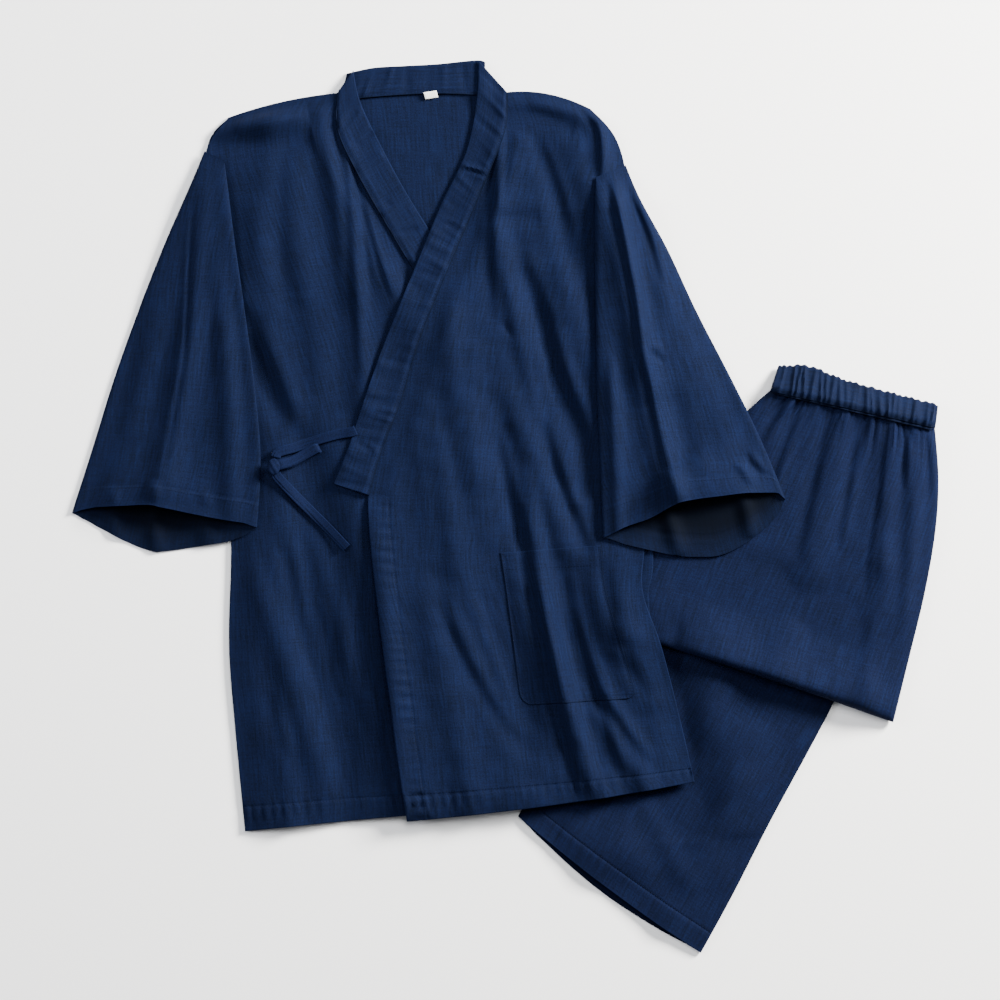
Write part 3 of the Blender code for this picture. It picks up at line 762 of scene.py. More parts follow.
@dataclass
class Panel(Sheet):
    """A jacket panel whose hemmed edges are turned under twice and stitched."""

    hem_left_below: float = -1000.0
    hem_right_below: float = -1000.0
    hem_bottom: bool = True
    hem_rise: float = 0.35
    top_roll: float = 24.0

    def relief(self) -> np.ndarray:
        """Return the sheet's relief, rolled down to the seam or fold along its top."""
        down = smoothstep(arc(self.grid)[..., 1] / self.top_roll)
        return super().relief() * (0.04 + 0.96 * down)

    def hem(self, distance: np.ndarray, along: np.ndarray, used: np.ndarray) -> np.ndarray:
        """Return one hem's relief: a thicker strip, a stitched groove and small puckers.

        Args:
            distance: Each point's distance to the hemmed edge.
            along: Each point's place along that edge.
            used: Where the edge carries a hem, from 0 to 1.

        Returns:
            Heights, rows by columns.
        """
        strip = 1.0 - smoothstep((distance - HEM_WIDTH + 0.6) / 1.2)
        groove = np.exp(-(((distance - HEM_WIDTH - 0.3) / 1.1) ** 2))
        near = np.exp(-(((distance - HEM_WIDTH + 5.0) / 8.0) ** 2))
        pucker = np.sin(along * 0.55 + 2.0 * np.sin(along * 0.043)) * np.sin(along * 0.021 + 1.0)
        return used * (self.hem_rise * strip - 0.5 * groove + 1.4 * near * pucker)

    def detail(self) -> np.ndarray:
        """Return the relief of all hems."""
        from_left = np.linalg.norm(self.grid - self.grid[:, :1], axis=2)
        from_right = np.linalg.norm(self.grid - self.grid[:, -1:], axis=2)
        places = arc(self.grid)
        from_bottom = places[-1:, :, 1] - places[..., 1]
        height = self.grid[..., 1]
        total = np.zeros(self.grid.shape[:2])
        for distance, below in ((from_left, self.hem_left_below), (from_right, self.hem_right_below)):
            total += self.hem(distance, places[..., 1], smoothstep((below - height) / 6.0))
        if self.hem_bottom:
            total += self.hem(from_bottom, places[..., 0], np.ones_like(total))
        return total

    def stitch_lines(self) -> list[np.ndarray]:
        """Return the lines on the upper surface where the hems are stitched."""
        place = HEM_STEPS.index(HEM_WIDTH)
        lines = []
        if self.hem_bottom:
            lines.append(self.surface[-1 - place])
        for column, below in ((place, self.hem_left_below), (-1 - place, self.hem_right_below)):
            line = self.surface[:, column]
            line = line[line[:, 1] < below]
            if len(line) > 3:
                lines.append(line)
        return lines


@dataclass
class Band(Sheet):
    """A folded and pressed collar band: crowned, with puckers across it."""

    wall: float = BAND_WALL
    crown: float = 1.1
    pucker_pitch: float = 15.0
    pucker_height: float = 1.5
    seam_sink: float = 1.5
    # Painted shade along the band's seam.
    painted_seam_shadow: float = 0.8
    seam_on_left: bool = True

    def seam_distance(self) -> np.ndarray:
        """Return each point's distance to the seam beside the panel."""
        edge = self.grid[:, :1] if self.seam_on_left else self.grid[:, -1:]
        return np.linalg.norm(self.grid - edge, axis=2)

    def relief(self) -> np.ndarray:
        """Return the crown and puckers of the band over the bed."""
        places = arc(self.grid)
        width = places[:, -1:, 0] - places[:, :1, 0]
        part = (places[..., 0] - places[:, :1, 0]) / width
        along = places[..., 1]
        crown = self.crown * np.sqrt(np.clip(1.0 - (2.0 * part - 1.0) ** 2, 0.0, 1.0))
        source = random.Random(self.seed)
        total = np.zeros(self.grid.shape[:2])
        place = source.uniform(4.0, 10.0)
        while place < along.max() - 4.0:
            slant = source.uniform(-6.0, 6.0)
            spread_out = source.uniform(2.4, 4.4)
            side = 0.0 if source.random() < 0.5 else 1.0
            reach = source.uniform(0.35, 1.1)
            height = self.pucker_height * source.uniform(0.35, 1.5) * source.choice((1.0, 1.0, -0.8))
            line = along - place - slant * (part - 0.5)
            total += height * np.exp(-((line / spread_out) ** 2) - (((part - side) / reach) ** 2))
            place += self.pucker_pitch * source.uniform(0.45, 1.35)
        for crease in self.creases:
            total += crease.relief(self.grid)
        raised = np.maximum(crown + total * smoothstep(np.minimum(part, 1.0 - part) / 0.12), 0.0)
        # The seam draws the band's edge down into the panel.
        from_seam = width * (part if self.seam_on_left else 1.0 - part)
        return raised - self.seam_sink * (1.0 - smoothstep(from_seam / 6.0))

    def detail(self) -> np.ndarray:
        """Return the groove of the topstitching beside the seam."""
        return -0.7 * np.exp(-(((self.seam_distance() - 2.6) / 1.0) ** 2))

    def stitch_lines(self) -> list[np.ndarray]:
        """Return the line of topstitching beside the seam."""
        column = 3 if self.seam_on_left else -4
        return [self.surface[:, column]]


@dataclass
class Patch(Sheet):
    """A patch pocket with rounded lower corners and a hemmed mouth."""

    wall: float = 0.7
    # Painted shade along the pocket's sewn sides and bottom.
    painted_seam_shadow: float = 0.5
    corner: float = 13.0
    mouth_hem: float = 20.0
    ground: np.ndarray = field(default_factory=lambda: np.zeros((2, 2, 3)))

    def seam_distance(self) -> np.ndarray:
        """Return each point's distance to the sewn edges: the sides and the bottom."""
        along = arc(self.grid)[..., 1]
        return np.minimum(self.edge_distance(), along[-1:] - along)

    def lay(self, bed: Bed) -> None:
        """Lay the patch close on the cloth that it is sewn to, which follows its every fold."""
        self.grid = self.plan()
        tree = BVHTree.FromPolygons(
            [Vector(point) for point in self.ground.reshape(-1, 3)], grid_faces(*self.ground.shape[:2])
        )
        heights = np.zeros(self.grid.shape[:2])
        for row, column in np.ndindex(*heights.shape):
            hit = tree.ray_cast(Vector((*self.grid[row, column], SKY)), DOWN)[0]
            heights[row, column] = hit.z
        top = heights + self.gap + self.wall + rumple(self.grid, self.seed, 0.12, 20.0)
        self.surface = np.dstack((self.grid, top))

    def plan(self, sag_name: str = "sag") -> np.ndarray:
        """Return the ground points, drawn in towards the lower corners."""
        grid = super().plan(sag_name)
        along = arc(grid)[..., 1]
        left = grid[:, :1]
        right = grid[:, -1:]
        middle = 0.5 * (left + right)
        rise = np.clip(along.max() - along[:, :1], 0.0, self.corner)
        inset = self.corner - np.sqrt(np.clip(self.corner**2 - (self.corner - rise) ** 2, 0.0, None))
        half = 0.5 * np.linalg.norm(right - left, axis=2)
        return middle + (grid - middle) * (1.0 - inset / half)[..., None]

    def detail(self) -> np.ndarray:
        """Return the grooves of the stitched edges and of the mouth's hem."""
        sides = self.edge_distance()
        along = arc(self.grid)[..., 1]
        from_bottom = along[-1:] - along
        edge = np.minimum(sides, from_bottom)
        groove = -0.55 * np.exp(-(((edge - 2.6) / 1.0) ** 2))
        mouth = 0.25 * (1.0 - smoothstep((along - self.mouth_hem) / 1.6))
        return groove * smoothstep((along - 1.0) / 3.0) + mouth

    def stitch_lines(self) -> list[np.ndarray]:
        """Return the stitched edge and the stitching of the mouth's hem."""
        rim = [self.surface[:, 3], self.surface[-4, 3:-3], self.surface[::-1, -4]]
        along = arc(self.grid)[:, 0, 1]
        mouth = int(np.argmin(np.abs(along - self.mouth_hem)))
        return [np.concatenate((rim[0][:-3], rim[1], rim[2][3:])), self.surface[mouth, 3:-3]]


class End(Enum):
    """How a tube of cloth ends."""

    OPEN = "open"
    SEWN = "sewn"
    FOLDED = "folded"


class Gather(NamedTuple):
    """One gather that runs down from a drawn-up edge."""

    place: float
    width: float
    length: float
    height: float


@dataclass
class Tube:
    """A flattened tube of cloth, such as a sleeve or a leg, with an outer and an inner face."""

    name: str
    rows: tuple[Row, ...]
    hollow: float
    start: End
    end: End
    end_line: tuple[tuple[float, float, float], ...]
    folds: tuple[Fold, ...] = ()
    creases: tuple[Crease, ...] = ()
    gathers: tuple[Gather, ...] = ()
    slack: int = 160
    side_round: float = 6.0
    left_roll: float = 22.0
    right_roll: float = 22.0
    mouth: float = 0.0
    mouth_place: float = 0.5
    inside: tuple[Crease, ...] = ()
    loft: float = 1.6
    rumple_height: float = 0.35
    seed: int = 5
    step: float = MESH_STEP
    under_grid: np.ndarray = field(default_factory=lambda: np.zeros((0, 0, 2)), init=False)
    top_grid: np.ndarray = field(default_factory=lambda: np.zeros((0, 0, 2)), init=False)
    under: np.ndarray = field(default_factory=lambda: np.zeros((0, 0, 3)), init=False)
    top: np.ndarray = field(default_factory=lambda: np.zeros((0, 0, 3)), init=False)

    def layer_plan(self, column: int) -> np.ndarray:
        """Return the ground points of one layer, its last line bent to the end line.

        Args:
            column: 1 for the upper layer's end line, 2 for the lower one's.

        Returns:
            Ground points, lines along by lines across by two.
        """
        ends = HEM_STEPS if self.end is End.OPEN else TURNED_STEPS
        flat_rows = tuple(row._replace(sag=0.0) for row in self.rows)
        sheet = Sheet(self.name, flat_rows, step=self.step, bottom=ends)
        grid = sheet.plan()
        widths = arc(grid)[-1, :, 0]
        part = (widths - widths[0]) / (widths[-1] - widths[0])
        shape = np.array(self.end_line)
        rise = through(shape[:, column:column + 1], np.interp(part, shape[:, 0], np.arange(len(shape))))
        along = arc(grid)[..., 1]
        last = np.linalg.norm(np.diff(np.array(self.rows)[-2:, :2], axis=0))
        weight = smoothstep(1.0 - (along[-1] - along) / last)
        grid[..., 1] += weight * rise[:, 0][None, :]
        return grid

    def lay(self, bed: Bed) -> None:
        """Lay the lower layer on the bed and the upper layer on the lower one."""
        self.under_grid = self.layer_plan(2)
        self.top_grid = self.layer_plan(1)
        low = bed.lay(self.under_grid, LAYER_GAP, self.slack)
        for crease in self.inside:
            low = low + crease.relief(self.under_grid)
        inside = bed.copy()
        lower_face = np.dstack((self.under_grid, low + CLOTH_WALL))
        inside.add(lower_face.reshape(-1, 3), grid_faces(*low.shape))
        high = inside.lay(self.top_grid, self.hollow, self.slack // 2)
        high = np.maximum(high, low + CLOTH_WALL + self.hollow * 0.6) + self.relief() + CLOTH_WALL
        if self.start is End.SEWN:
            closed = low + 2.0 * CLOTH_WALL
            high = closed + (high - closed) * smoothstep((arc(self.top_grid)[..., 1] + 3.0) / 45.0)
        side_under, side_top = self.roundness(self.under_grid), self.roundness(self.top_grid)
        middle = 0.5 * (low + high)
        self.under = np.dstack((self.under_grid, middle - (middle - low) * side_under))
        self.top = np.dstack((self.top_grid, middle + (high - middle) * side_top))

    def roundness(self, grid: np.ndarray) -> np.ndarray:
        """Return how far each point stands from the tube's middle plane, least at closed edges."""
        sides = np.minimum(
            np.linalg.norm(grid - grid[:, :1], axis=2), np.linalg.norm(grid - grid[:, -1:], axis=2)
        )
        round_part = [self.bulge(sides / self.side_round)]
        along = arc(grid)[..., 1]
        for kind, distance in ((self.start, along), (self.end, along[-1:] - along)):
            if kind is End.FOLDED:
                round_part.append(self.bulge(distance / self.side_round))
            elif kind is End.SEWN:
                round_part.append(0.1 + 0.9 * smoothstep(distance / 16.0))
        return np.min(np.array(round_part), axis=0)

    @staticmethod
    def bulge(ratio: np.ndarray) -> np.ndarray:
        """Return a quarter circle's height over its ratio, from a low start."""
        return 0.18 + 0.82 * np.sqrt(np.clip(1.0 - (1.0 - np.clip(ratio, 0.0, 1.0)) ** 2, 0.0, 1.0))

    def relief(self) -> np.ndarray:
        """Return the height of folds, gathers, creases and rumples of the upper layer."""
        grid = self.top_grid
        total = self.loft + rumple(grid, self.seed, self.rumple_height, 24.0)
        total = total + piled(grid, self.folds)
        places = arc(grid)
        half = -places[:, :1, 0]
        part = (places[..., 0] + half) / (2.0 * half)
        for gather in self.gathers:
            away = (part - gather.place) * 2.0 * half / gather.width
            fade = 1.0 - smoothstep(places[..., 1] / gather.length)
            total = total + gather.height * fade * np.exp(-(away**2))
        to_end = places[-1:, :, 1] - places[..., 1]
        agape = np.exp(-((to_end / 55.0) ** 2) - ((part - self.mouth_place) / 0.3) ** 2)
        total = total + self.mouth * agape
        from_left = np.linalg.norm(grid - grid[:, :1], axis=2)
        from_right = np.linalg.norm(grid - grid[:, -1:], axis=2)
        rise = smoothstep(from_left / self.left_roll) * smoothstep(from_right / self.right_roll)
        total = total * (0.15 + 0.85 * rise)
        for crease in self.creases:
            total = total + crease.relief(grid)
        return 0.5 * (total + np.sqrt(total**2 + 1.0))

    def cuff(self, grid: np.ndarray) -> np.ndarray:
        """Return the relief of the hem at an open end."""
        if self.end is not End.OPEN:
            return np.zeros(grid.shape[:2])
        along = arc(grid)[..., 1]
        distance = along[-1:] - along
        strip = 1.0 - smoothstep((distance - HEM_WIDTH + 0.6) / 1.2)
        groove = np.exp(-(((distance - HEM_WIDTH - 0.3) / 1.1) ** 2))
        return 0.45 * strip - 0.6 * groove

    def shell(self) -> Shell:
        """Return the tube as one closed shell, its inner face a wall inside the outer one."""
        top, under = self.top.copy(), self.under.copy()
        top[..., 2] += self.cuff(self.top_grid)
        middle = 0.5 * (top[..., 2] + under[..., 2])
        inner_top = np.dstack((self.top_grid, np.maximum(self.top[..., 2] - CLOTH_WALL, middle + 0.05)))
        inner_under = np.dstack((self.under_grid, np.minimum(under[..., 2] + CLOTH_WALL, middle - 0.05)))
        inner_under[..., 2] += self.cuff(self.under_grid)
        self.top = top
        inset = 1.2
        for layer in (inner_top, inner_under):
            for edge, beside in ((0, 3), (-1, -4)):
                run = layer[:, beside, :2] - layer[:, edge, :2]
                layer[:, edge, :2] += run * inset / np.linalg.norm(run, axis=1)[:, None]
            if self.start is not End.OPEN:
                layer[0, :, :2] += 0.15 * (layer[3, :, :2] - layer[0, :, :2])
            if self.end is not End.OPEN:
                layer[-1, :, :2] += 0.15 * (layer[-4, :, :2] - layer[-1, :, :2])
        rows, columns = self.top_grid.shape[:2]
        width = 2 * columns
        outer = np.concatenate((under, top[:, ::-1]), axis=1)
        inner = np.concatenate((inner_under, inner_top[:, ::-1]), axis=1)
        count = rows * width
        faces = []
        for row in range(rows - 1):
            for place in range(width):
                a, b = row * width + place, row * width + (place + 1) % width
                faces.append((a, b, b + width, a + width))
                faces.append((count + a, count + a + width, count + b + width, count + b))
        faces += self.end_faces(0, self.start, columns, count, False)
        faces += self.end_faces((rows - 1) * width, self.end, columns, count, True)
        grain_top, grain_under = arc(self.top), arc(self.under)
        grain_under[..., 0] += 400.0
        grain = np.concatenate((grain_under, grain_top[:, ::-1]), axis=1).reshape(-1, 2)
        along = grain_top[..., 1]
        edge = along[-1:] - along if self.end is End.OPEN else np.full(along.shape, 50.0)
        # The cuff's edge painted paler: wear and a painted highlight.
        cuff_wear_and_highlight = 0.25 * np.exp(-((edge / 1.4) ** 2))
        edge_wear_and_highlight = np.concatenate((cuff_wear_and_highlight, cuff_wear_and_highlight[:, ::-1]), axis=1).reshape(-1)
        # Painted shade on the inner face, darker further in from the mouth, for the shadow inside the tube.
        inside_shadow = 0.45 + 0.55 * smoothstep((edge - 4.0) / 20.0)
        painted_shade_amount = np.concatenate((inside_shadow, inside_shadow[:, ::-1]), axis=1)
        return Shell(
            np.vstack((outer.reshape(-1, 3), inner.reshape(-1, 3))), faces,
            np.vstack((grain, grain)), np.concatenate((edge_wear_and_highlight, edge_wear_and_highlight * 0.0)),
            np.concatenate((edge_wear_and_highlight * 0.0, painted_shade_amount.reshape(-1))),
        )

    @staticmethod
    def end_faces(
        start: int, kind: End, columns: int, count: int, last: bool
    ) -> list[tuple[int, ...]]:
        """Return the faces at one end: a rim between the faces, or a cap on each.

        Args:
            start: First point of the end's outer ring.
            kind: How the end is made.
            columns: Lines across one layer.
            count: Number of points in the outer face.
            last: Whether this is the tube's last ring.

        Returns:
            The end's faces.
        """
        width = 2 * columns
        faces = []
        if kind is End.OPEN:
            for place in range(width):
                a, b = start + place, start + (place + 1) % width
                faces.append((a, b, count + b, count + a))
        else:
            for place in range(columns - 1):
                a, b = start + place, start + place + 1
                c, d = start + width - 2 - place, start + width - 1 - place
                faces.append((a, b, c, d))
                faces.append((count + d, count + c, count + b, count + a))
        return faces if last else [tuple(reversed(face)) for face in faces]

    def stitch_lines(self) -> list[np.ndarray]:
        """Return the line of stitching at the hem."""
        if self.end is not End.OPEN:
            return []
        return [self.top[-1 - HEM_STEPS.index(HEM_WIDTH), 2:-2]]

    def finish(
        self, bed: Bed, nodes: Sequence[str], slot: str, material: bpy.types.Material,
        hold: Hold, rests_on: Sequence[str],
    ) -> bpy.types.Object:
        """Make the piece and add it to the bed.

        Args:
            bed: What lies beneath, which then carries this piece too.
            nodes: Frame nodes that it stands for.
            slot: The record's material slot.
            material: Its finish.
            hold: Not used.
            rests_on: Not used.

        Returns:
            The new object.
        """
        piece = self.shell().publish(self.name, nodes, slot, material)
        declare_cut(self.top)
        faces = grid_faces(*self.top_grid.shape[:2])
        bed.add(self.under.reshape(-1, 3) + np.array((0.0, 0.0, CLOTH_WALL)), faces)
        bed.add(self.top.reshape(-1, 3), faces)
        LOG.info("%s: %d by %d lines", self.name, *self.top_grid.shape[:2])
        return piece


@dataclass
class Waistband(Sheet):
    """One half of an elastic casing: drawn up into ripples between its two rows of stitching."""

    wall: float = 1.9
    ripples: int = 24
    ripple_height: float = 4.4
    scallop: float = 0.8
    # Painted shade along the seam at the leg's top.
    painted_seam_shadow: float = 0.7

    def seam_distance(self) -> np.ndarray:
        """Return each point's distance to the seam at the leg's top."""
        return np.linalg.norm(self.grid - self.grid[:, :1], axis=2)

    def relief(self) -> np.ndarray:
        """Return the casing's crown and its ripples, uneven in width and height."""
        places = arc(self.grid)
        part = (places[..., 0] - places[:, :1, 0]) / (places[:, -1:, 0] - places[:, :1, 0])
        crown = np.sqrt(np.clip(1.0 - (2.0 * part - 1.0) ** 2, 0.0, 1.0))
        if self.ripples == 0:
            return 0.6 * crown
        source = random.Random(self.seed)
        pitch = places[..., 1].max() / self.ripples
        total = np.zeros(self.grid.shape[:2])
        for index in range(self.ripples):
            place = (index + source.uniform(0.1, 0.9)) * pitch
            slant, centre = source.uniform(-4.0, 4.0), source.uniform(0.1, 0.9)
            width, reach = pitch * source.uniform(0.2, 0.38), source.uniform(0.5, 1.2)
            line = places[..., 1] - place - slant * (part - 0.5)
            bump = np.exp(-((line / width) ** 2) - ((part - centre) / reach) ** 2)
            total += self.ripple_height * source.uniform(0.5, 1.15) * bump
        sunk = 2.2 * (1.0 - smoothstep(part / 0.2))
        return 1.2 * crown + total * (0.35 + 0.65 * crown) - sunk

    def plan(self, sag_name: str = "sag") -> np.ndarray:
        """Return the ground points, the free edge scalloped between the ripples."""
        grid = super().plan(sag_name)
        if self.ripples == 0:
            return grid
        along = arc(grid)[..., 1]
        run = grid[:, -1] - grid[:, 0]
        run /= np.linalg.norm(run, axis=1)[:, None]
        part = np.linspace(0.0, 1.0, grid.shape[1])[None, :] ** 4
        pitch = along.max() / self.ripples
        wave = np.sin(6.283 * along / pitch + 2.0 * np.sin(along * 0.09)) + 0.6 * np.sin(along * 0.31)
        return grid + (self.scallop * part * wave)[..., None] * run[:, None, :]

    def detail(self) -> np.ndarray:
        """Return the grooves of the casing's two rows of stitching."""
        places = arc(self.grid)
        from_seam = places[..., 0] - places[:, :1, 0]
        from_free = places[:, -1:, 0] - places[..., 0]
        groove = np.exp(-(((from_seam - 2.6) / 1.1) ** 2)) + 0.7 * np.exp(-(((from_free - 4.6) / 1.1) ** 2))
        return -0.7 * groove * (1.0 if self.ripples else 0.0)

    def stitch_lines(self) -> list[np.ndarray]:
        """Return the casing's line of stitching."""
        return [self.surface[:, 3]] if self.ripples else []


@dataclass
class Stitching:
    """Rows of single stitches that lie in the grooves of the seams."""

    name: str
    pitch: float = 3.3
    length: float = 2.3
    width: float = 0.62
    height: float = 0.34
    points: list[np.ndarray] = field(default_factory=list)
    faces: list[tuple[int, ...]] = field(default_factory=list)

    def sew(self, line: np.ndarray) -> None:
        """Sew stitches along a line on a surface."""
        lengths = np.concatenate(([0.0], np.cumsum(np.linalg.norm(np.diff(line, axis=0), axis=1))))
        for place in np.arange(1.0, lengths[-1] - self.length, self.pitch):
            ends = [
                np.array([np.interp(at, lengths, line[:, axis]) for axis in range(3)])
                for at in (place, place + self.length)
            ]
            run = ends[1] - ends[0]
            side = np.array((-run[1], run[0], 0.0)) / max(np.hypot(run[0], run[1]), 1e-6)
            self.add_stitch(ends[0], ends[1], side * self.width / 2.0)

    def add_stitch(self, start: np.ndarray, end: np.ndarray, side: np.ndarray) -> None:
        """Add one stitch as a small pointed spindle."""
        up = np.array((0.0, 0.0, self.height))
        first = len(self.points)
        near, far = start + 0.3 * (end - start), start + 0.7 * (end - start)
        self.points += [
            start - 0.2 * up, near - side, near + up, near + side, near - up,
            far - side, far + up, far + side, far - up, end - 0.2 * up,
        ]
        corners = [(1, 2), (2, 3), (3, 4), (4, 1)]
        for a, b in corners:
            self.faces.append((first, first + b, first + a))
            self.faces.append((first + a, first + b, first + b + 4, first + a + 4))
            self.faces.append((first + a + 4, first + b + 4, first + 9))

    def finish(self, slot: str, material: bpy.types.Material) -> bpy.types.Object:
        """Make the stitches one piece."""
        points = np.array(self.points)
        shell = Shell(points, self.faces, points[:, :2].copy(), np.zeros(len(points)))
        piece = shell.publish(self.name, (), slot, material)
        LOG.info("%s: %d stitches", self.name, len(self.points) // 10)
        return piece


def ribbon_rows(route: Sequence[tuple[float, float]], width: float) -> tuple[Row, ...]:
    """Return the rows of a narrow strap along a smooth route.

    Args:
        route: Places on the ground in millimetres, from start to end.
        width: The strap's width.

    Returns:
        One row for each station along the route.
    """
    table = np.array(route, dtype=float)
    middle = through(table, np.linspace(0.0, len(table) - 1.0, 4 * len(table)))
    run = np.gradient(middle, axis=0)
    run /= np.linalg.norm(run, axis=1)[:, None]
    side = np.column_stack((-run[:, 1], run[:, 0])) * width / 2.0
    return tuple(
        Row(*(place - edge).tolist(), *(place + edge).tolist()) for place, edge in zip(middle, side)
    )


@dataclass
class Strap(Sheet):
    """A narrow tie strap, pressed flat with its seam along one edge and a crease along it."""

    wall: float = 1.5
    step: float = 2.0
    slack: int = 3
    lift: tuple[float, float] = (0.0, 0.0)

    def relief(self) -> np.ndarray:
        """Return the strap's lengthwise crease and how far its ends stand off."""
        places = arc(self.grid)
        part = (places[..., 0] - places[:, :1, 0]) / (places[:, -1:, 0] - places[:, :1, 0])
        along = places[..., 1] / places[..., 1].max()
        crease = 0.55 * np.exp(-(((part - 0.68) / 0.12) ** 2)) - 0.35 * np.exp(-(((part - 0.42) / 0.1) ** 2))
        start, end = self.lift
        wave = 0.5 * np.sin(along * 11.0 + self.seed) * (part - 0.5)
        return 0.4 + crease + wave + start * (1.0 - along) ** 2 + end * along**2


def rows(*values: tuple[float, ...]) -> tuple[Row, ...]:
    """Return a table of rows from plain numbers."""
    return tuple(Row(*value) for value in values)


def folds(*values: tuple[float, ...]) -> tuple[Fold, ...]:
    """Return a table of main folds from plain numbers."""
    return tuple(Fold(*value) for value in values)


def ridge(width: float, height: float, *path: tuple[float, float]) -> Crease:
    """Return a ridge, or a trough where its height is negative."""
    return Crease(path, width, height)


def step(width: float, height: float, *path: tuple[float, float]) -> Crease:
    """Return a step that stands higher on the right of its path, or on its left if negative."""
    return Crease(path, width, height, Profile.STEP)


BACK_ROWS = rows(
    (-294, 413, 92, 421, 23), (-317, 376, 124, 368, 4), (-309, 262, 137, 250), (-297, 113, 148, 102),
    (-290, -41, 157, -51), (-292, -100, 152, -95), (-292, -152, 160, -150), (-284, -242, 181, -238),
    (-273, -340, 194, -289, -3),
)
FRONT_UNDER_ROWS = rows(
    (-294, 413, -178, 439, 4), (-317, 378, -177, 400), (-314, 330, -157, 356), (-309, 275, -130, 308),
    (-303, 215, -97, 253), (-299, 160, -64, 203), (-295, 95, -32, 145), (-291, 10, -6, 50),
    (-291, -60, 4, -45), (-293, -150, 14, -140), (-286, -242, 26, -235), (-276, -345, 34, -316, 1),
)
FRONT_OVER_ROWS = rows(
    (2, 440, 91, 422, 7), (0, 403, 117, 392), (-16, 359, 129, 350), (-40, 302, 132, 290),
    (-64, 246, 136, 232), (-93, 173, 141, 165), (-111, 113, 146, 108), (-133, 56, 150, 50),
    (-145, 12, 152, 4), (-142, -46, 148, -44), (-137, -90, 146, -90), (-130, -148, 165, -146),
    (-121, -213, 181, -206), (-115, -262, 192, -252), (-104, -334, 201, -292, -4),
)
COLLAR_OVER_FREE = (
    (-28, 473), (-30, 434), (-41, 379), (-68, 321), (-94, 258), (-125, 182), (-147, 121),
    (-166, 64), (-182, 24),
)
COLLAR_UNDER_FREE = (
    (-161, 463), (-153, 428), (-128, 376), (-101, 327), (-66, 272), (-32, 222), (2, 162),
)
COLLAR_NECK_ROWS = rows(
    (-176, 428, -168, 460), (-153, 433, -140, 466), (-111, 436.5, -108, 468), (-72, 438, -72, 470),
    (-31, 436.6, -31, 474), (-22, 435.6, -21, 472),
)
LABEL_ROWS = rows((-86.5, 439.5, -72.8, 441.5), (-84.4, 432.4, -71, 434.4))
POCKET_ROWS = rows((-5, -49, 102, -41), (1, -90, 107, -88), (9, -150, 124, -148), (17, -211, 141, -203))
SLEEVE_RIGHT_ROWS = rows(
    (-319, 377, -298, 367), (-334, 341, -294, 340), (-360, 282, -287, 285), (-387, 214, -277, 216),
    (-415, 136, -266, 132), (-437, 65, -259, 52), (-460, -7, -263, -22),
)
SLEEVE_LEFT_ROWS = rows(
    (96.5, 349, 128, 362), (95, 325, 144, 325), (95, 272, 173, 272), (96, 208, 203, 208),
    (97, 134, 241, 134), (100, 60, 273, 66), (104, -33, 297, 8),
)
# Each cuff's edge across the tube: place, rise of the upper layer and rise of the lower one.
CUFF_RIGHT = (
    (0, 0, 0), (0.05, 4, -4.5), (0.13, 8.3, -12), (0.28, 12, -25), (0.42, 15, -33.5),
    (0.48, 13.5, -33.5), (0.69, 8.2, -25), (0.84, 5, -18), (0.93, 3.6, -10), (1, 0, 0),
)
CUFF_LEFT = (
    (0, 0, 0), (0.12, 6.4, -12), (0.26, 10.4, -24), (0.4, 19.3, -35), (0.48, 20.2, -40),
    (0.64, 17.9, -45), (0.78, 15.4, -38), (0.9, 11, -25), (0.96, 8, -15), (1, 0, 0),
)
LEG_HEM = ((0, 0, 0), (0.1, -1.8, -5), (0.3, -4.2, -12), (0.5, -5, -14), (0.75, -3.8, -9), (1, 0, 0))
LEG_FOLD = ((0, 0, 0), (0.25, 2.2, 2.2), (0.5, 3, 3), (0.75, 2.2, 2.2), (1, 0, 0))
LEG_UNDER_ROWS = rows(
    (284, 121, 452, 82), (246, 74, 440, -8), (196, 2, 392, -118), (139, -101, 340, -226),
    (88, -195, 283, -332), (42, -277, 241, -414), (14, -329, 208, -474),
)
LEG_UPPER_ROWS = rows(
    (281, 123, 456, 84), (248, 92, 460, 30), (207, 39, 457, -25), (164, -25, 446, -90),
    (129, -83, 430, -157), (108, -130, 412, -229),
)
WAIST_UPPER_FREE = ((290, 149), (322, 149.5), (355, 136.5), (389, 126.5), (425, 117), (460, 108))
WAIST_UNDER_FREE = ((291, 144), (330, 138), (372, 128), (414, 117), (456, 106))
TIE_STRAP_ROUTE = ((-158, 81), (-163.5, 79), (-180, 76), (-204, 69), (-225, 62), (-240, 57.5), (-243, 52))
TIE_LOOP_ROUTE = ((-241, 42), (-236.5, 43.5), (-225, 47), (-212, 54), (-199, 61))
TIE_END_ROUTE = ((-243, 35), (-239, 29), (-217, 6), (-191, -20), (-168, -44))

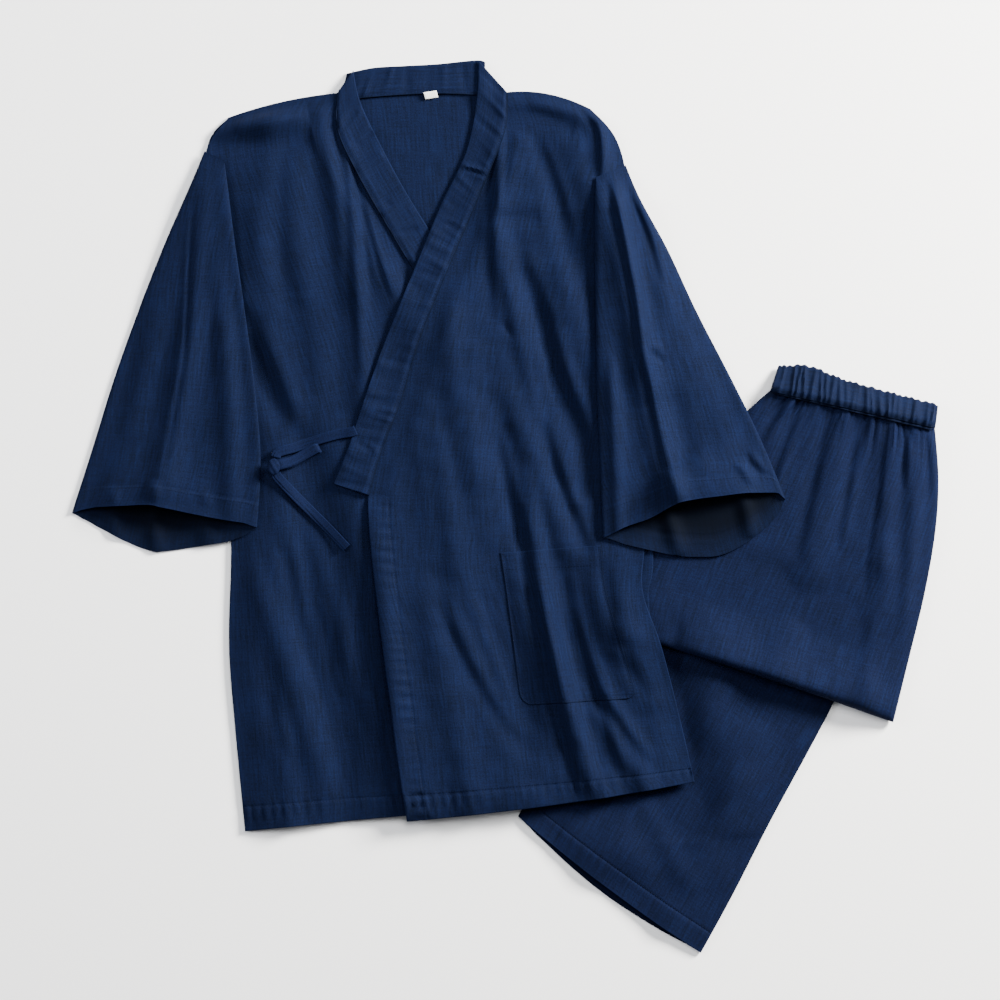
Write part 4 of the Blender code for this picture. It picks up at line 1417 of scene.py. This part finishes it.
MAIN_FOLDS_UNDER = folds(
    (-186, 400, -160, 235, 13, 8), (-160, 235, -150, 120, 13, 5), (-250, 390, -262, 250, 22, 5),
    (-225, 330, -205, 160, 18, 5), (-262, 176, -226, 90, 9, -3), (-120, 235, -95, 190, 14, 4),
    (-240, 60, -232, -60, 20, 5), (-250, -110, -205, -250, 16, 6), (-232, -57, -178, -200, 11, -3),
    (-195, -60, -158, -190, 15, 6), (-158, -190, -150, -310, 15, 4), (-235, -260, -228, -345, 14, 4),
)
MAIN_FOLDS_OVER = folds(
    (-2, 425, -6, 320, 13, 7), (50, 420, 85, 330, 16, 5), (34, 390, 70, 270, 12, -3),
    (-10, 290, 35, 165, 16, 7), (16, 262, 62, 100, 11, -3), (60, 210, 72, 60, 16, 6),
    (-60, 190, -40, 60, 18, 6), (-70, 40, -45, -110, 18, 6), (20, 80, 60, -30, 16, 6),
    (0, 80, 28, -50, 9, -3), (28, 5, 55, -160, 15, 8), (55, -160, 100, -300, 16, 8),
    (-40, -110, 12, -235, 14, -3), (-75, -130, -40, -290, 18, 5), (108, -200, 145, -285, 13, 6),
    (68, -140, 100, -265, 8, -3),
)
MAIN_FOLDS_SLEEVE_RIGHT = folds(
    (-322, 330, -331, 190, 10, 4), (-331, 190, -360, 40, 14, 7), (-385, 170, -420, 30, 16, 4),
    (-295, 180, -290, 20, 14, 5),
)
MAIN_FOLDS_SLEEVE_LEFT = folds(
    (112, 370, 130, 250, 9, 7), (130, 250, 146, 150, 13, 10), (146, 150, 178, 15, 14, 9),
    (148, 320, 172, 230, 10, 6), (200, 160, 255, 30, 18, 3), (112, 120, 118, -20, 9, 5),
)
MAIN_FOLDS_LEG_UNDER = folds((250, -290, 180, -420, 18, 4), (200, -230, 110, -360, 20, 4))
MAIN_FOLDS_LEG_UPPER = folds(
    (410, 80, 400, -60, 10, 5), (400, -60, 385, -190, 14, 5), (360, 85, 330, -40, 12, 5),
    (330, -40, 290, -170, 20, 4), (435, 40, 428, -110, 10, 4),
)

# Paths run down the garment or to the right. A negative step falls to the photo's left or bottom,
# away from the light, and shows dark; a positive one shows bright.
CREASES_UNDER = (
    step(36, -16.0, (310, 424), (328, 480), (340, 540), (354, 620), (366, 700), (378, 790), (386, 880)),
    step(20, -6.0, (246, 300), (262, 345), (280, 390), (292, 430)),
    step(16, 4.0, (256, 190), (272, 260), (290, 320)),
    step(7, -4.3, (333, 108), (341, 150), (348, 200), (352, 260), (356, 320), (360, 385)),
    step(5, 3.2, (346, 120), (354, 180), (362, 250), (367, 310)),
    step(4, -2.9, (364, 205), (376, 250), (392, 300)),
    ridge(14, -3.6, (300, 300), (304, 350), (304, 400)),
    step(13, -6.5, (250, 330), (268, 372), (284, 410), (290, 440)),
    step(21, -14.0, (208, 142), (240, 135), (272, 132), (310, 124)),
    ridge(16, 3.5, (232, 122), (262, 112), (300, 104)),
    ridge(20, 3.0, (262, 190), (280, 240), (292, 290)),
    step(10, -5.8, (288, 545), (300, 610), (318, 660), (336, 700), (346, 740)),
    step(8, -3.6, (316, 600), (326, 650), (334, 700)),
    step(9, -2.4, (272, 690), (280, 730), (290, 760)),
    ridge(9, -4.3, (384, 520), (384, 600), (390, 700), (392, 790)),
    step(14, 4.3, (352, 560), (352, 640), (352, 740)),
)
CREASES_OVER = (
    step(24, -8.0, (500, 545), (516, 610), (534, 680), (552, 750)),
    step(26, -8.0, (578, 540), (592, 600), (612, 660), (636, 720)),
    step(12, -8.0, (576, 100), (591, 118), (597, 146), (598, 180)),
    step(24, -10.0, (548, 262), (566, 320), (582, 380), (594, 440), (600, 500)),
    step(6, 3.5, (507, 112), (503, 160), (501, 205)),
    step(7, -3.2, (494, 105), (494, 170), (492, 250), (494, 320)),
    ridge(9, -3.0, (493, 215), (512, 218), (540, 216)),
    step(12, -8.7, (520, 250), (541, 305), (558, 365), (577, 410), (590, 450), (596, 500)),
    step(10, 4.3, (506, 262), (520, 320), (534, 380), (546, 420)),
    step(8, -5.2, (498, 430), (512, 490), (526, 550)),
    step(8, -5.2, (545, 420), (556, 460), (574, 510), (592, 552)),
    step(8, -2.9, (535, 130), (556, 180), (574, 240)),
    step(5, -3.6, (580, 104), (596, 126), (600, 152), (599, 186)),
    step(24, -8.0, (556, 98), (572, 128), (582, 165), (590, 205)),
    step(17, -9.0, (496, 108), (535, 107), (566, 112), (590, 130)),
    ridge(13, -3.6, (512, 124), (545, 122), (575, 130)),
    ridge(13, 8.7, (372, 500), (380, 560), (388, 640), (396, 720), (404, 824)),
    step(9, 6.5, (534, 500), (548, 580), (562, 650), (580, 720), (598, 790)),
    step(8, -7.2, (520, 500), (530, 570), (545, 640), (562, 720), (580, 795)),
    step(8, -4.9, (566, 570), (576, 620), (592, 670), (606, 720), (622, 780)),
    step(9, -4.3, (440, 600), (464, 650), (492, 702), (520, 742)),
    step(9, 3.5, (470, 580), (492, 640), (512, 690), (534, 735)),
    step(9, 4.6, (584, 680), (606, 720), (636, 770)),
    step(7, -3.5, (600, 690), (622, 724), (650, 762)),
    ridge(8, -2.9, (625, 640), (630, 670), (650, 700)),
    ridge(9, -3.8, (600, 560), (610, 610), (612, 650)),
    step(12, 2.3, (420, 420), (432, 500), (440, 590)),
    step(12, -2.3, (470, 330), (468, 420), (476, 500)),
    ridge(3, -2.0, (502, 322), (508, 330), (512, 338)),
)
CREASES_COLLAR_OVER = (
    ridge(2.2, 2.9, (459, 164), (470, 167), (481, 170), (488, 173)),
    ridge(2.2, -2.0, (462, 168), (474, 171), (486, 176)),
    ridge(3.0, -1.7, (446, 225), (462, 224)),
    ridge(3.0, -2.3, (356, 442), (364, 447), (374, 452)),
)
CREASES_COLLAR_UNDER = (
    ridge(3.0, -2.0, (374, 196), (392, 206)),
    ridge(3.5, -2.3, (392, 232), (406, 231), (418, 228)),
    ridge(3.0, -1.7, (352, 140), (362, 146)),
)
CREASES_SLEEVE_RIGHT = (
    ridge(44, 5.0, (205, 160), (190, 260), (176, 380), (160, 500)),
    step(
        3.6, 2.6, (191, 206), (188, 263), (186, 314), (183, 352), (178, 384), (172, 416), (161, 486),
        (158, 508),
    ),
    ridge(3.4, -0.9, (190, 210), (187, 300), (182, 370), (170, 430), (160, 500)),
    step(16, -1.0, (202, 240), (210, 300), (216, 370), (220, 430)),
    step(12, -4.0, (238, 240), (246, 300), (252, 380), (256, 460)),
    step(16, -3.0, (150, 280), (138, 360), (120, 440)),
    ridge(2.6, -2.0, (204, 150), (214, 156), (225, 162)),
)
CREASES_SLEEVE_LEFT = (
    ridge(50, 6.0, (604, 150), (628, 250), (648, 350), (664, 440), (684, 530)),
    ridge(30, 6.0, (606, 150), (628, 240), (646, 320), (662, 400)),
    step(26, 5.0, (668, 250), (700, 330), (728, 400), (748, 450)),
    step(
        6, -7.0, (594, 118), (604, 146), (611, 187), (619, 225), (627, 264), (634, 302), (640, 350),
        (648, 384), (656, 424), (664, 459), (671, 484), (679, 512),
    ),
    step(10, 4.3, (604, 130), (618, 175), (630, 225), (640, 280), (650, 340)),
    step(6, -4.3, (629, 172), (634, 196), (645, 224), (654, 250), (662, 282)),
    ridge(3, -3.2, (648, 350), (656, 357), (664, 362)),
    ridge(3, 2.3, (652, 346), (662, 350)),
    step(5, -4.3, (748, 452), (753, 462), (764, 474)),
    ridge(2.2, -2.0, (592, 172), (603, 168), (616, 165), (628, 166)),
    step(14, -2.9, (676, 380), (690, 430), (700, 480)),
    step(12, 2.6, (612, 330), (618, 400), (624, 480)),
)
INSIDE_CUFF_RIGHT = (
    ridge(9, 4.0, (112, 505), (116, 545)),
    ridge(9, 5.0, (152, 505), (156, 555)),
    ridge(12, 4.5, (205, 505), (208, 550)),
)
INSIDE_CUFF_LEFT = (
    ridge(9, 6.5, (664, 496), (670, 520), (680, 556)),
    ridge(8, 5.5, (738, 486), (746, 510), (750, 538)),
)
CREASES_LEG_UPPER = (
    step(3.0, -2.6, (889, 421), (884, 460), (880, 500), (870, 554), (868, 600)),
    step(6, -4.3, (790, 392), (776, 420), (760, 446)),
    step(6, -4.6, (806, 398), (792, 430), (778, 470), (764, 520)),
    step(7, -3.8, (838, 410), (824, 450), (812, 500), (800, 560)),
    step(6, -3.8, (862, 416), (856, 450), (848, 500), (838, 550)),
    step(5, -4.1, (906, 424), (906, 450), (904, 490)),
    step(5, -3.5, (926, 430), (930, 460), (932, 500)),
    ridge(26, -7.2, (670, 575), (740, 585), (810, 610), (870, 630)),
    ridge(32, 13.0, (676, 646), (700, 652), (780, 682), (850, 702), (905, 716)),
    step(16, -4.3, (880, 560), (886, 620), (880, 680)),
)
CREASES_LEG_UNDER = (
    step(40, -13.0, (668, 630), (690, 700), (706, 760), (712, 840)),
    step(18, -3.5, (700, 700), (690, 760), (670, 820)),
    ridge(26, 4.3, (560, 830), (620, 850), (680, 880)),
    step(16, -2.9, (640, 800), (660, 850), (690, 900)),
)


def gathers(count: int, seed: int, height: float, length: float) -> tuple[Gather, ...]:
    """Return uneven gathers side by side along a drawn-up edge.

    Args:
        count: Number of gathers.
        seed: Fixed number that sets their unevenness.
        height: Height of the largest.
        length: Length of the longest.

    Returns:
        The gathers.
    """
    source = random.Random(seed)
    return tuple(
        Gather(
            (index + source.uniform(0.25, 0.75)) / count,
            source.uniform(1.8, 3.6),
            length * source.uniform(0.2, 1.0),
            height * source.uniform(0.45, 1.0),
        )
        for index in range(count)
    )


@dataclass
class Trousers:
    """The folded trousers: one leg full length, the other folded under, and the elastic waist."""

    bed: Bed
    cotton: bpy.types.Material
    casing: bpy.types.Material
    thread: bpy.types.Material
    leg_hollow: float = 1.8
    fold_hollow: float = 5.2
    seam_lap: float = 1.6
    stitching: Stitching = field(default_factory=lambda: Stitching("trousers_stitching"))

    def build(self) -> None:
        """Lay the trousers, from the ground up."""
        self.legs()
        self.waist()
        self.stitching.finish("trousers_cotton", self.thread)

    def legs(self) -> None:
        """Lay the leg that is full length and the folded one on it."""
        under = Tube(
            "scene_leg_under", LEG_UNDER_ROWS, self.leg_hollow, End.OPEN, End.OPEN, LEG_HEM,
            MAIN_FOLDS_LEG_UNDER, CREASES_LEG_UNDER, seed=11,
        )
        under.lay(self.bed)
        under.finish(
            self.bed, ("trousers_leg_under",), "trousers_cotton", self.cotton, Hold.LAID, ("floor",)
        )
        upper = Tube(
            "scene_leg_upper", LEG_UPPER_ROWS, self.fold_hollow, End.OPEN, End.FOLDED, LEG_FOLD,
            MAIN_FOLDS_LEG_UPPER, CREASES_LEG_UPPER, gathers(32, 4, 5.4, 80.0), seed=12, side_round=9.0,
        )
        upper.lay(self.bed)
        upper.finish(
            self.bed, ("trousers_leg_upper", "trousers_folded_layers"), "trousers_cotton", self.cotton,
            Hold.FOLDED, ("scene_leg_under",),
        )
        for leg in (under, upper):
            for line in leg.stitch_lines():
                self.stitching.sew(line)

    def waist(self) -> None:
        """Lay both halves of the elastic casing along the tops of the legs."""
        for name, node, leg_row, free, ripples in (
            ("scene_waist_under", "trousers_waist_under", LEG_UNDER_ROWS[0], WAIST_UNDER_FREE, 0),
            ("scene_waist_upper", "trousers_waist_upper", LEG_UPPER_ROWS[0], WAIST_UPPER_FREE, 24),
        ):
            table = np.array(free, dtype=float)
            free_edge = through(table, np.linspace(0.0, len(table) - 1.0, 13))
            ends = np.array(leg_row[:4]).reshape(2, 2)
            seam = ends[0] + np.outer(np.linspace(0.0, 1.0, 13), ends[1] - ends[0])
            outward = free_edge - seam
            outward /= np.linalg.norm(outward, axis=1)[:, None]
            seam = seam - outward * self.seam_lap
            band = Waistband(
                name, tuple(Row(*a.tolist(), *b.tolist()) for a, b in zip(seam, free_edge)),
                slack=30, step=1.3, ripples=ripples, seed=3,
            )
            band.lay(self.bed)
            band.finish(
                self.bed, (node,), "waist_cotton", self.casing, Hold.GATHERED,
                ("scene_leg_upper",),
            )
            for line in band.stitch_lines():
                self.stitching.sew(line)


@dataclass
class Jacket:
    """The wrap jacket: back, two fronts, collar, pocket, sleeves and neck label."""

    bed: Bed
    cotton: bpy.types.Material
    thread: bpy.types.Material
    tape: bpy.types.Material
    front_loft: float = 5.0
    sleeve_hollow: float = 1.6
    seam_lap: float = 1.4
    stitching: Stitching = field(default_factory=lambda: Stitching("jacket_stitching"))
    front: np.ndarray = field(default_factory=lambda: np.zeros((2, 2, 3)), init=False)

    def build(self) -> None:
        """Lay the jacket, from the ground up."""
        self.back()
        self.fronts()
        self.pocket()
        self.sleeves()
        self.stitching.finish("jacket_cotton", self.thread)

    def place(self, sheet: Sheet, node: str, slot: str, rests_on: Sequence[str]) -> None:
        """Lay one sheet, make its piece and sew its stitches.

        Args:
            sheet: The sheet to lay.
            node: Frame node that it stands for.
            slot: The record's material slot.
            rests_on: Names of what it lies on.
        """
        sheet.lay(self.bed)
        material = self.tape if node == "label" else self.cotton
        sheet.finish(self.bed, (node,), slot, material, Hold.LAID, rests_on)
        for line in sheet.stitch_lines():
            self.stitching.sew(line)

    def back(self) -> None:
        """Lay the back panel with the collar's neck part and the label on it."""
        back = Panel("scene_back", BACK_ROWS, loft=0.4, step=4.4, bottom=HEM_STEPS, seed=21)
        self.place(back, "jacket_back", "jacket_cotton", ("floor", "scene_leg_upper"))
        neck = Band(
            "scene_collar_neck", COLLAR_NECK_ROWS, slack=20, step=2.4, pucker_pitch=19.0,
            seam_sink=0.0, seed=8,
        )
        self.place(neck, "collar_neck", "collar_cotton", ("scene_back",))
        label = Sheet(
            "scene_label", LABEL_ROWS, wall=0.8, slack=2, step=1.5, gap=0.3,
            left=(0.0, 0.6), right=(0.0, 0.6), top=(0.0, 0.6), bottom=(0.0, 0.6), rumple_height=0.1,
        )
        self.place(label, "label", "white_label", ("scene_back",))

    def band(
        self, name: str, front_rows: tuple[Row, ...], free: Sequence[tuple[float, float]],
        seam_on_left: bool, creases: tuple[Crease, ...], seed: int,
    ) -> Band:
        """Return a collar band beside a front's edge.

        Args:
            name: The piece's name.
            front_rows: Rows of the front that carries the band.
            free: Places of the band's free edge, one for each row.
            seam_on_left: Whether the band's seam is its left edge.
            creases: Creases of the band.
            seed: Fixed number that sets its puckers.

        Returns:
            The band, not yet laid.
        """
        table = []
        for row, (x, y) in zip(front_rows, free):
            seam = np.array((row.right_x, row.right_y) if seam_on_left else (row.left_x, row.left_y))
            outward = np.array((x, y)) - seam
            seam = seam - outward * self.seam_lap / np.linalg.norm(outward)
            ends = (*seam, x, y) if seam_on_left else (x, y, *seam)
            table.append(Row(*(float(value) for value in ends)))
        return Band(
            name, tuple(table), creases=creases, slack=20, step=2.4, seam_on_left=seam_on_left, seed=seed
        )

    def fronts(self) -> None:
        """Lay the under front and its band, then the over front and its band."""
        under = Panel(
            "scene_front_under", FRONT_UNDER_ROWS, folds=MAIN_FOLDS_UNDER, creases=CREASES_UNDER,
            loft=self.front_loft, edge_lift=0.12, bottom=HEM_STEPS, seed=22,
        )
        self.place(under, "front_under", "jacket_cotton", ("scene_back",))
        limb = self.band(
            "scene_collar_under", FRONT_UNDER_ROWS, COLLAR_UNDER_FREE, True, CREASES_COLLAR_UNDER, 31
        )
        self.place(limb, "collar_under", "collar_cotton", ("scene_front_under",))
        over = Panel(
            "scene_front_over", FRONT_OVER_ROWS, folds=MAIN_FOLDS_OVER, creases=CREASES_OVER,
            loft=self.front_loft, edge_lift=0.16, left=HEM_STEPS, bottom=HEM_STEPS,
            hem_left_below=10.0, seed=23,
        )
        self.place(over, "front_over", "jacket_cotton", ("scene_front_under", "scene_leg_upper"))
        self.front = over.surface
        limb = self.band(
            "scene_collar_over", FRONT_OVER_ROWS, COLLAR_OVER_FREE, False, CREASES_COLLAR_OVER, 37
        )
        self.place(limb, "collar_over", "collar_cotton", ("scene_front_over",))

    def pocket(self) -> None:
        """Lay the patch pocket on the over front."""
        pocket = Patch("scene_pocket", POCKET_ROWS, gap=0.3, step=3.0, ground=self.front, seed=24)
        self.place(pocket, "pocket", "jacket_cotton", ("scene_front_over",))

    def sleeves(self) -> None:
        """Lay both sleeves over the body."""
        for name, node, table, cuff, main_folds, creases, inside, seed, mouth, place, left, right in (
            ("scene_sleeve_right", "sleeve_right", SLEEVE_RIGHT_ROWS, CUFF_RIGHT,
             MAIN_FOLDS_SLEEVE_RIGHT, CREASES_SLEEVE_RIGHT, INSIDE_CUFF_RIGHT, 41, 13.0, 0.45, 60.0, 30.0),
            ("scene_sleeve_left", "sleeve_left", SLEEVE_LEFT_ROWS, CUFF_LEFT,
             MAIN_FOLDS_SLEEVE_LEFT, CREASES_SLEEVE_LEFT, INSIDE_CUFF_LEFT, 42, 13.0, 0.64, 22.0, 85.0),
        ):
            sleeve = Tube(
                name, table, self.sleeve_hollow, End.SEWN, End.OPEN, cuff, main_folds, creases,
                seed=seed, mouth=mouth, mouth_place=place, inside=inside,
                left_roll=left, right_roll=right,
            )
            sleeve.lay(self.bed)
            sleeve.finish(
                self.bed, (node,), "sleeve_cotton", self.cotton, Hold.LAID,
                ("scene_front_over", "scene_front_under"),
            )
            for line in sleeve.stitch_lines():
                self.stitching.sew(line)


@dataclass
class Tie:
    """The knotted tie: strap from the collar, knot, loop and free end."""

    bed: Bed
    cotton: bpy.types.Material
    width: float = 10.5
    knot_place: tuple[float, float] = (-245.0, 42.0)
    knot_size: tuple[float, float, float] = (15.0, 19.0, 9.0)

    def build(self) -> None:
        """Lay the straps and set the knot on them."""
        for name, node, route, lift in (
            ("scene_tie_strap", "tie_strap", TIE_STRAP_ROUTE, (0.0, 3.0)),
            ("scene_tie_end", "tie_end", TIE_END_ROUTE, (3.0, 0.0)),
        ):
            strap = Strap(name, ribbon_rows(route, self.width), lift=lift, seed=len(name))
            strap.lay(self.bed)
            strap.finish(
                self.bed, (node,), "tie_cotton", self.cotton, Hold.LAID, ("scene_front_under",)
            )
        self.loop()
        self.knot()

    def loop(self) -> None:
        """Make the bow's loop: a strap that runs out, turns and comes back above itself."""
        table = np.array(TIE_LOOP_ROUTE, dtype=float)
        centre = through(table, np.linspace(0.0, len(table) - 1.0, 17))
        run = np.gradient(centre, axis=0)
        run /= np.linalg.norm(run, axis=1)[:, None]
        side = np.column_stack((-run[:, 1], run[:, 0]))
        rest = self.bed.lay(centre[None], LAYER_GAP, 2)[0]
        path, normals = [], []
        for index in range(len(centre)):
            path.append((*centre[index], rest[index] + 1.0))
            normals.append((0.0, 0.0, -1.0))
        radius = 2.4
        tip = path[-1]
        for angle in np.linspace(-60.0, 60.0, 5):
            turn = math.radians(angle)
            path.append(
                (tip[0] + run[-1][0] * radius * math.cos(turn), tip[1] + run[-1][1] * radius * math.cos(turn),
                 tip[2] + radius * (1.0 + math.sin(turn)))
            )
            normals.append((run[-1][0] * math.cos(turn), run[-1][1] * math.cos(turn), math.sin(turn)))
        arch = np.sin(np.linspace(0.0, math.pi, len(centre)))
        for index in range(len(centre) - 1, -1, -1):
            path.append(
                (centre[index][0] + 1.2 * side[index][0], centre[index][1] + 1.2 * side[index][1],
                 rest[index] + 1.0 + 2.0 * radius + 2.0 * arch[index])
            )
            normals.append((0.0, 0.0, 1.0))
        sides = np.concatenate((side, np.repeat(side[-1:], 5, axis=0), side[::-1]))
        self.ribbon("scene_tie_loop", np.array(path), np.array(normals), sides, "tie_loop")

    def ribbon(
        self, name: str, path: np.ndarray, normals: np.ndarray, sides: np.ndarray, node: str
    ) -> None:
        """Make a strap that follows a path in space, with a rounded section.

        Args:
            name: The piece's name.
            path: Points along the strap's middle.
            normals: Directions out of its face at each point.
            sides: Directions across it, on the ground.
            node: Frame node that it stands for.
        """
        half, wall = self.width / 2.0, 0.75
        section = (
            (-1.0, 0.0), (-0.9, 0.85), (-0.45, 1.0), (-0.1, 0.8), (0.25, 1.15), (0.9, 0.85), (1.0, 0.0),
            (0.9, -0.85), (0.3, -1.0), (-0.3, -1.0), (-0.9, -0.85),
        )
        points = []
        across = np.column_stack((sides, np.zeros(len(sides))))
        for place, normal, side in zip(path, normals, across):
            points += [place + side * half * a + normal * wall * b for a, b in section]
        width = len(section)
        faces = [
            (row * width + k, row * width + (k + 1) % width, (row + 1) * width + (k + 1) % width,
             (row + 1) * width + k)
            for row in range(len(path) - 1)
            for k in range(width)
        ]
        last = (len(path) - 1) * width
        for k in range(1, width - 1):
            faces.append((0, k + 1, k))
            faces.append((last, last + k, last + k + 1))
        lengths = np.concatenate(([0.0], np.cumsum(np.linalg.norm(np.diff(path, axis=0), axis=1))))
        grain = np.array([(a * half, along) for along in lengths for a, _ in section])
        shell = Shell(np.array(points), faces, grain, np.zeros(len(points)))
        piece = shell.publish(name, (node,), "tie_cotton", self.cotton)
        LOG.info("%s: %d points along", name, len(path))

    def knot(self) -> None:
        """Model the knot: a tightened lump with the strap wrapped over it."""
        x, y = self.knot_place
        grid = np.array([[[x + dx, y + dy] for dx in (-5.0, 0.0, 5.0)] for dy in (-6.0, 0.0, 6.0)])
        base = float(self.bed.lay(grid, LAYER_GAP, 2).max())
        bpy.ops.object.select_all(action="DESELECT")
        bpy.ops.mesh.primitive_uv_sphere_add(segments=28, ring_count=18, radius=0.5)
        knot = bpy.context.object
        knot.name = "scene_tie_knot"
        mesh = knot.data
        for vertex in mesh.vertices:
            px, py, pz = vertex.co * 2.0
            wrap = 0.14 * math.cos(9.0 * (px * 0.8 + py * 0.6)) * (0.4 + 0.6 * abs(pz))
            band = 0.16 * math.exp(-(((px * 0.55 - py * 0.85) / 0.3) ** 2)) * max(pz, 0.0)
            size = 0.93 + wrap * 0.5 + band
            vertex.co = (
                (x + px * size * self.knot_size[0] / 2.0) * MM,
                (y + py * size * self.knot_size[1] / 2.0) * MM,
                (base + (1.0 + pz * size) * self.knot_size[2] / 2.0) * MM,
            )
        grain = mesh.uv_layers.active
        grain.name = "grain"
        for loop in mesh.loops:
            place = mesh.vertices[loop.vertex_index].co
            grain.data[loop.index].uv = (place.x + place.z, place.y - place.z)
        bpy.ops.object.shade_smooth_by_angle(angle=math.radians(70.0))
        mesh.materials.append(self.cotton)
        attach(knot, "root")
        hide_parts("tie_knot")
        LOG.info("%s: %d points", knot.name, len(mesh.vertices))


@dataclass
class Studio:
    """Plain white table, soft studio light and the camera straight above."""

    lens: float = 200.0
    frame_width: float = 1.06
    middle: tuple[float, float] = (-0.0053, 0.0069)
    cloth_height: float = 0.014

    def build(self) -> None:
        """Make the floor, the lights and the camera."""
        self.floor()
        self.lights()
        self.camera()

    def floor(self) -> None:
        """Make the white table top."""
        bpy.ops.object.select_all(action="DESELECT")
        bpy.ops.mesh.primitive_plane_add(size=12.0)
        floor = bpy.context.object
        floor.name = "floor"
        material = bpy.data.materials.new("white_laminate")
        material.use_nodes = True
        shader = material.node_tree.nodes["Principled BSDF"]
        shader.inputs["Base Color"].default_value = linear("#fbfbfb")
        shader.inputs["Roughness"].default_value = 0.7
        floor.data.materials.append(material)

    def softbox(
        self, name: str, place: tuple[float, float, float], size: float, power: float, shade: str
    ) -> None:
        """Hang one square softbox that looks at the middle of the table.

        Args:
            name: The light's name.
            place: Where it hangs, in metres.
            size: Length of its side in metres.
            power: Its power in watts.
            shade: Its colour.
        """
        bpy.ops.object.light_add(type="AREA", location=place)
        light = bpy.context.object
        light.name = name
        light.data.size = size
        light.data.energy = power
        light.data.color = linear(shade)[:3]
        light.rotation_euler = (Vector((0.0, 0.0, 0.0)) - Vector(place)).to_track_quat("-Z", "Y").to_euler()

    def lights(self) -> None:
        """Light the set from the right, with a weaker light from the left and one above."""
        self.softbox("key_softbox", (2.2, 1.4, 1.3), 0.9, 565.0, "#fffdf8")
        self.softbox("fill_softbox", (-2.2, 0.7, 1.5), 1.2, 66.0, "#f4f7ff")
        self.softbox("top_softbox", (0.3, 1.0, 3.2), 1.6, 76.0, "#ffffff")
        world = bpy.data.worlds.new("studio_white")
        world.use_nodes = True
        background = world.node_tree.nodes["Background"]
        background.inputs["Color"].default_value = linear("#f2f5fa")
        background.inputs["Strength"].default_value = 0.19
        bpy.context.scene.world = world

    def camera(self) -> None:
        """Hang the camera straight above, so far up that the set looks flat as in the photograph."""
        data = bpy.data.cameras.new("camera")
        data.lens = self.lens
        data.clip_end = 50.0
        height = self.frame_width * self.lens / data.sensor_width + self.cloth_height
        camera = bpy.data.objects.new("camera", data)
        bpy.context.scene.collection.objects.link(camera)
        camera.location = (*self.middle, height)
        bpy.context.scene.camera = camera


def main() -> None:
    """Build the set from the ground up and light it."""
    logging.basicConfig(level=logging.INFO, format="%(name)s %(message)s")
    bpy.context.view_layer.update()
    LOG.info("frame with %d nodes", len(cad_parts))
    Studio().build()
    bed = Bed()
    thread = SewingThread().build()
    # The casing gets a darker copy of the cotton: painted shade for the shadow that the double, drawn-up
    # casing catches.
    casing = Cotton("waist_cotton_painted_shade", "#060c1f", "#081127", "#040813").build()
    Trousers(bed, Cotton("trousers_plain_cotton", "#080e23").build(), casing, thread).build()
    jacket_cotton = Cotton("jacket_plain_cotton").build()
    Jacket(bed, jacket_cotton, thread, LabelTape().build()).build()
    Tie(bed, Cotton("tie_plain_cotton", "#091027").build()).build()
    bpy.context.view_layer.update()


if __name__ == "__main__":
    main()
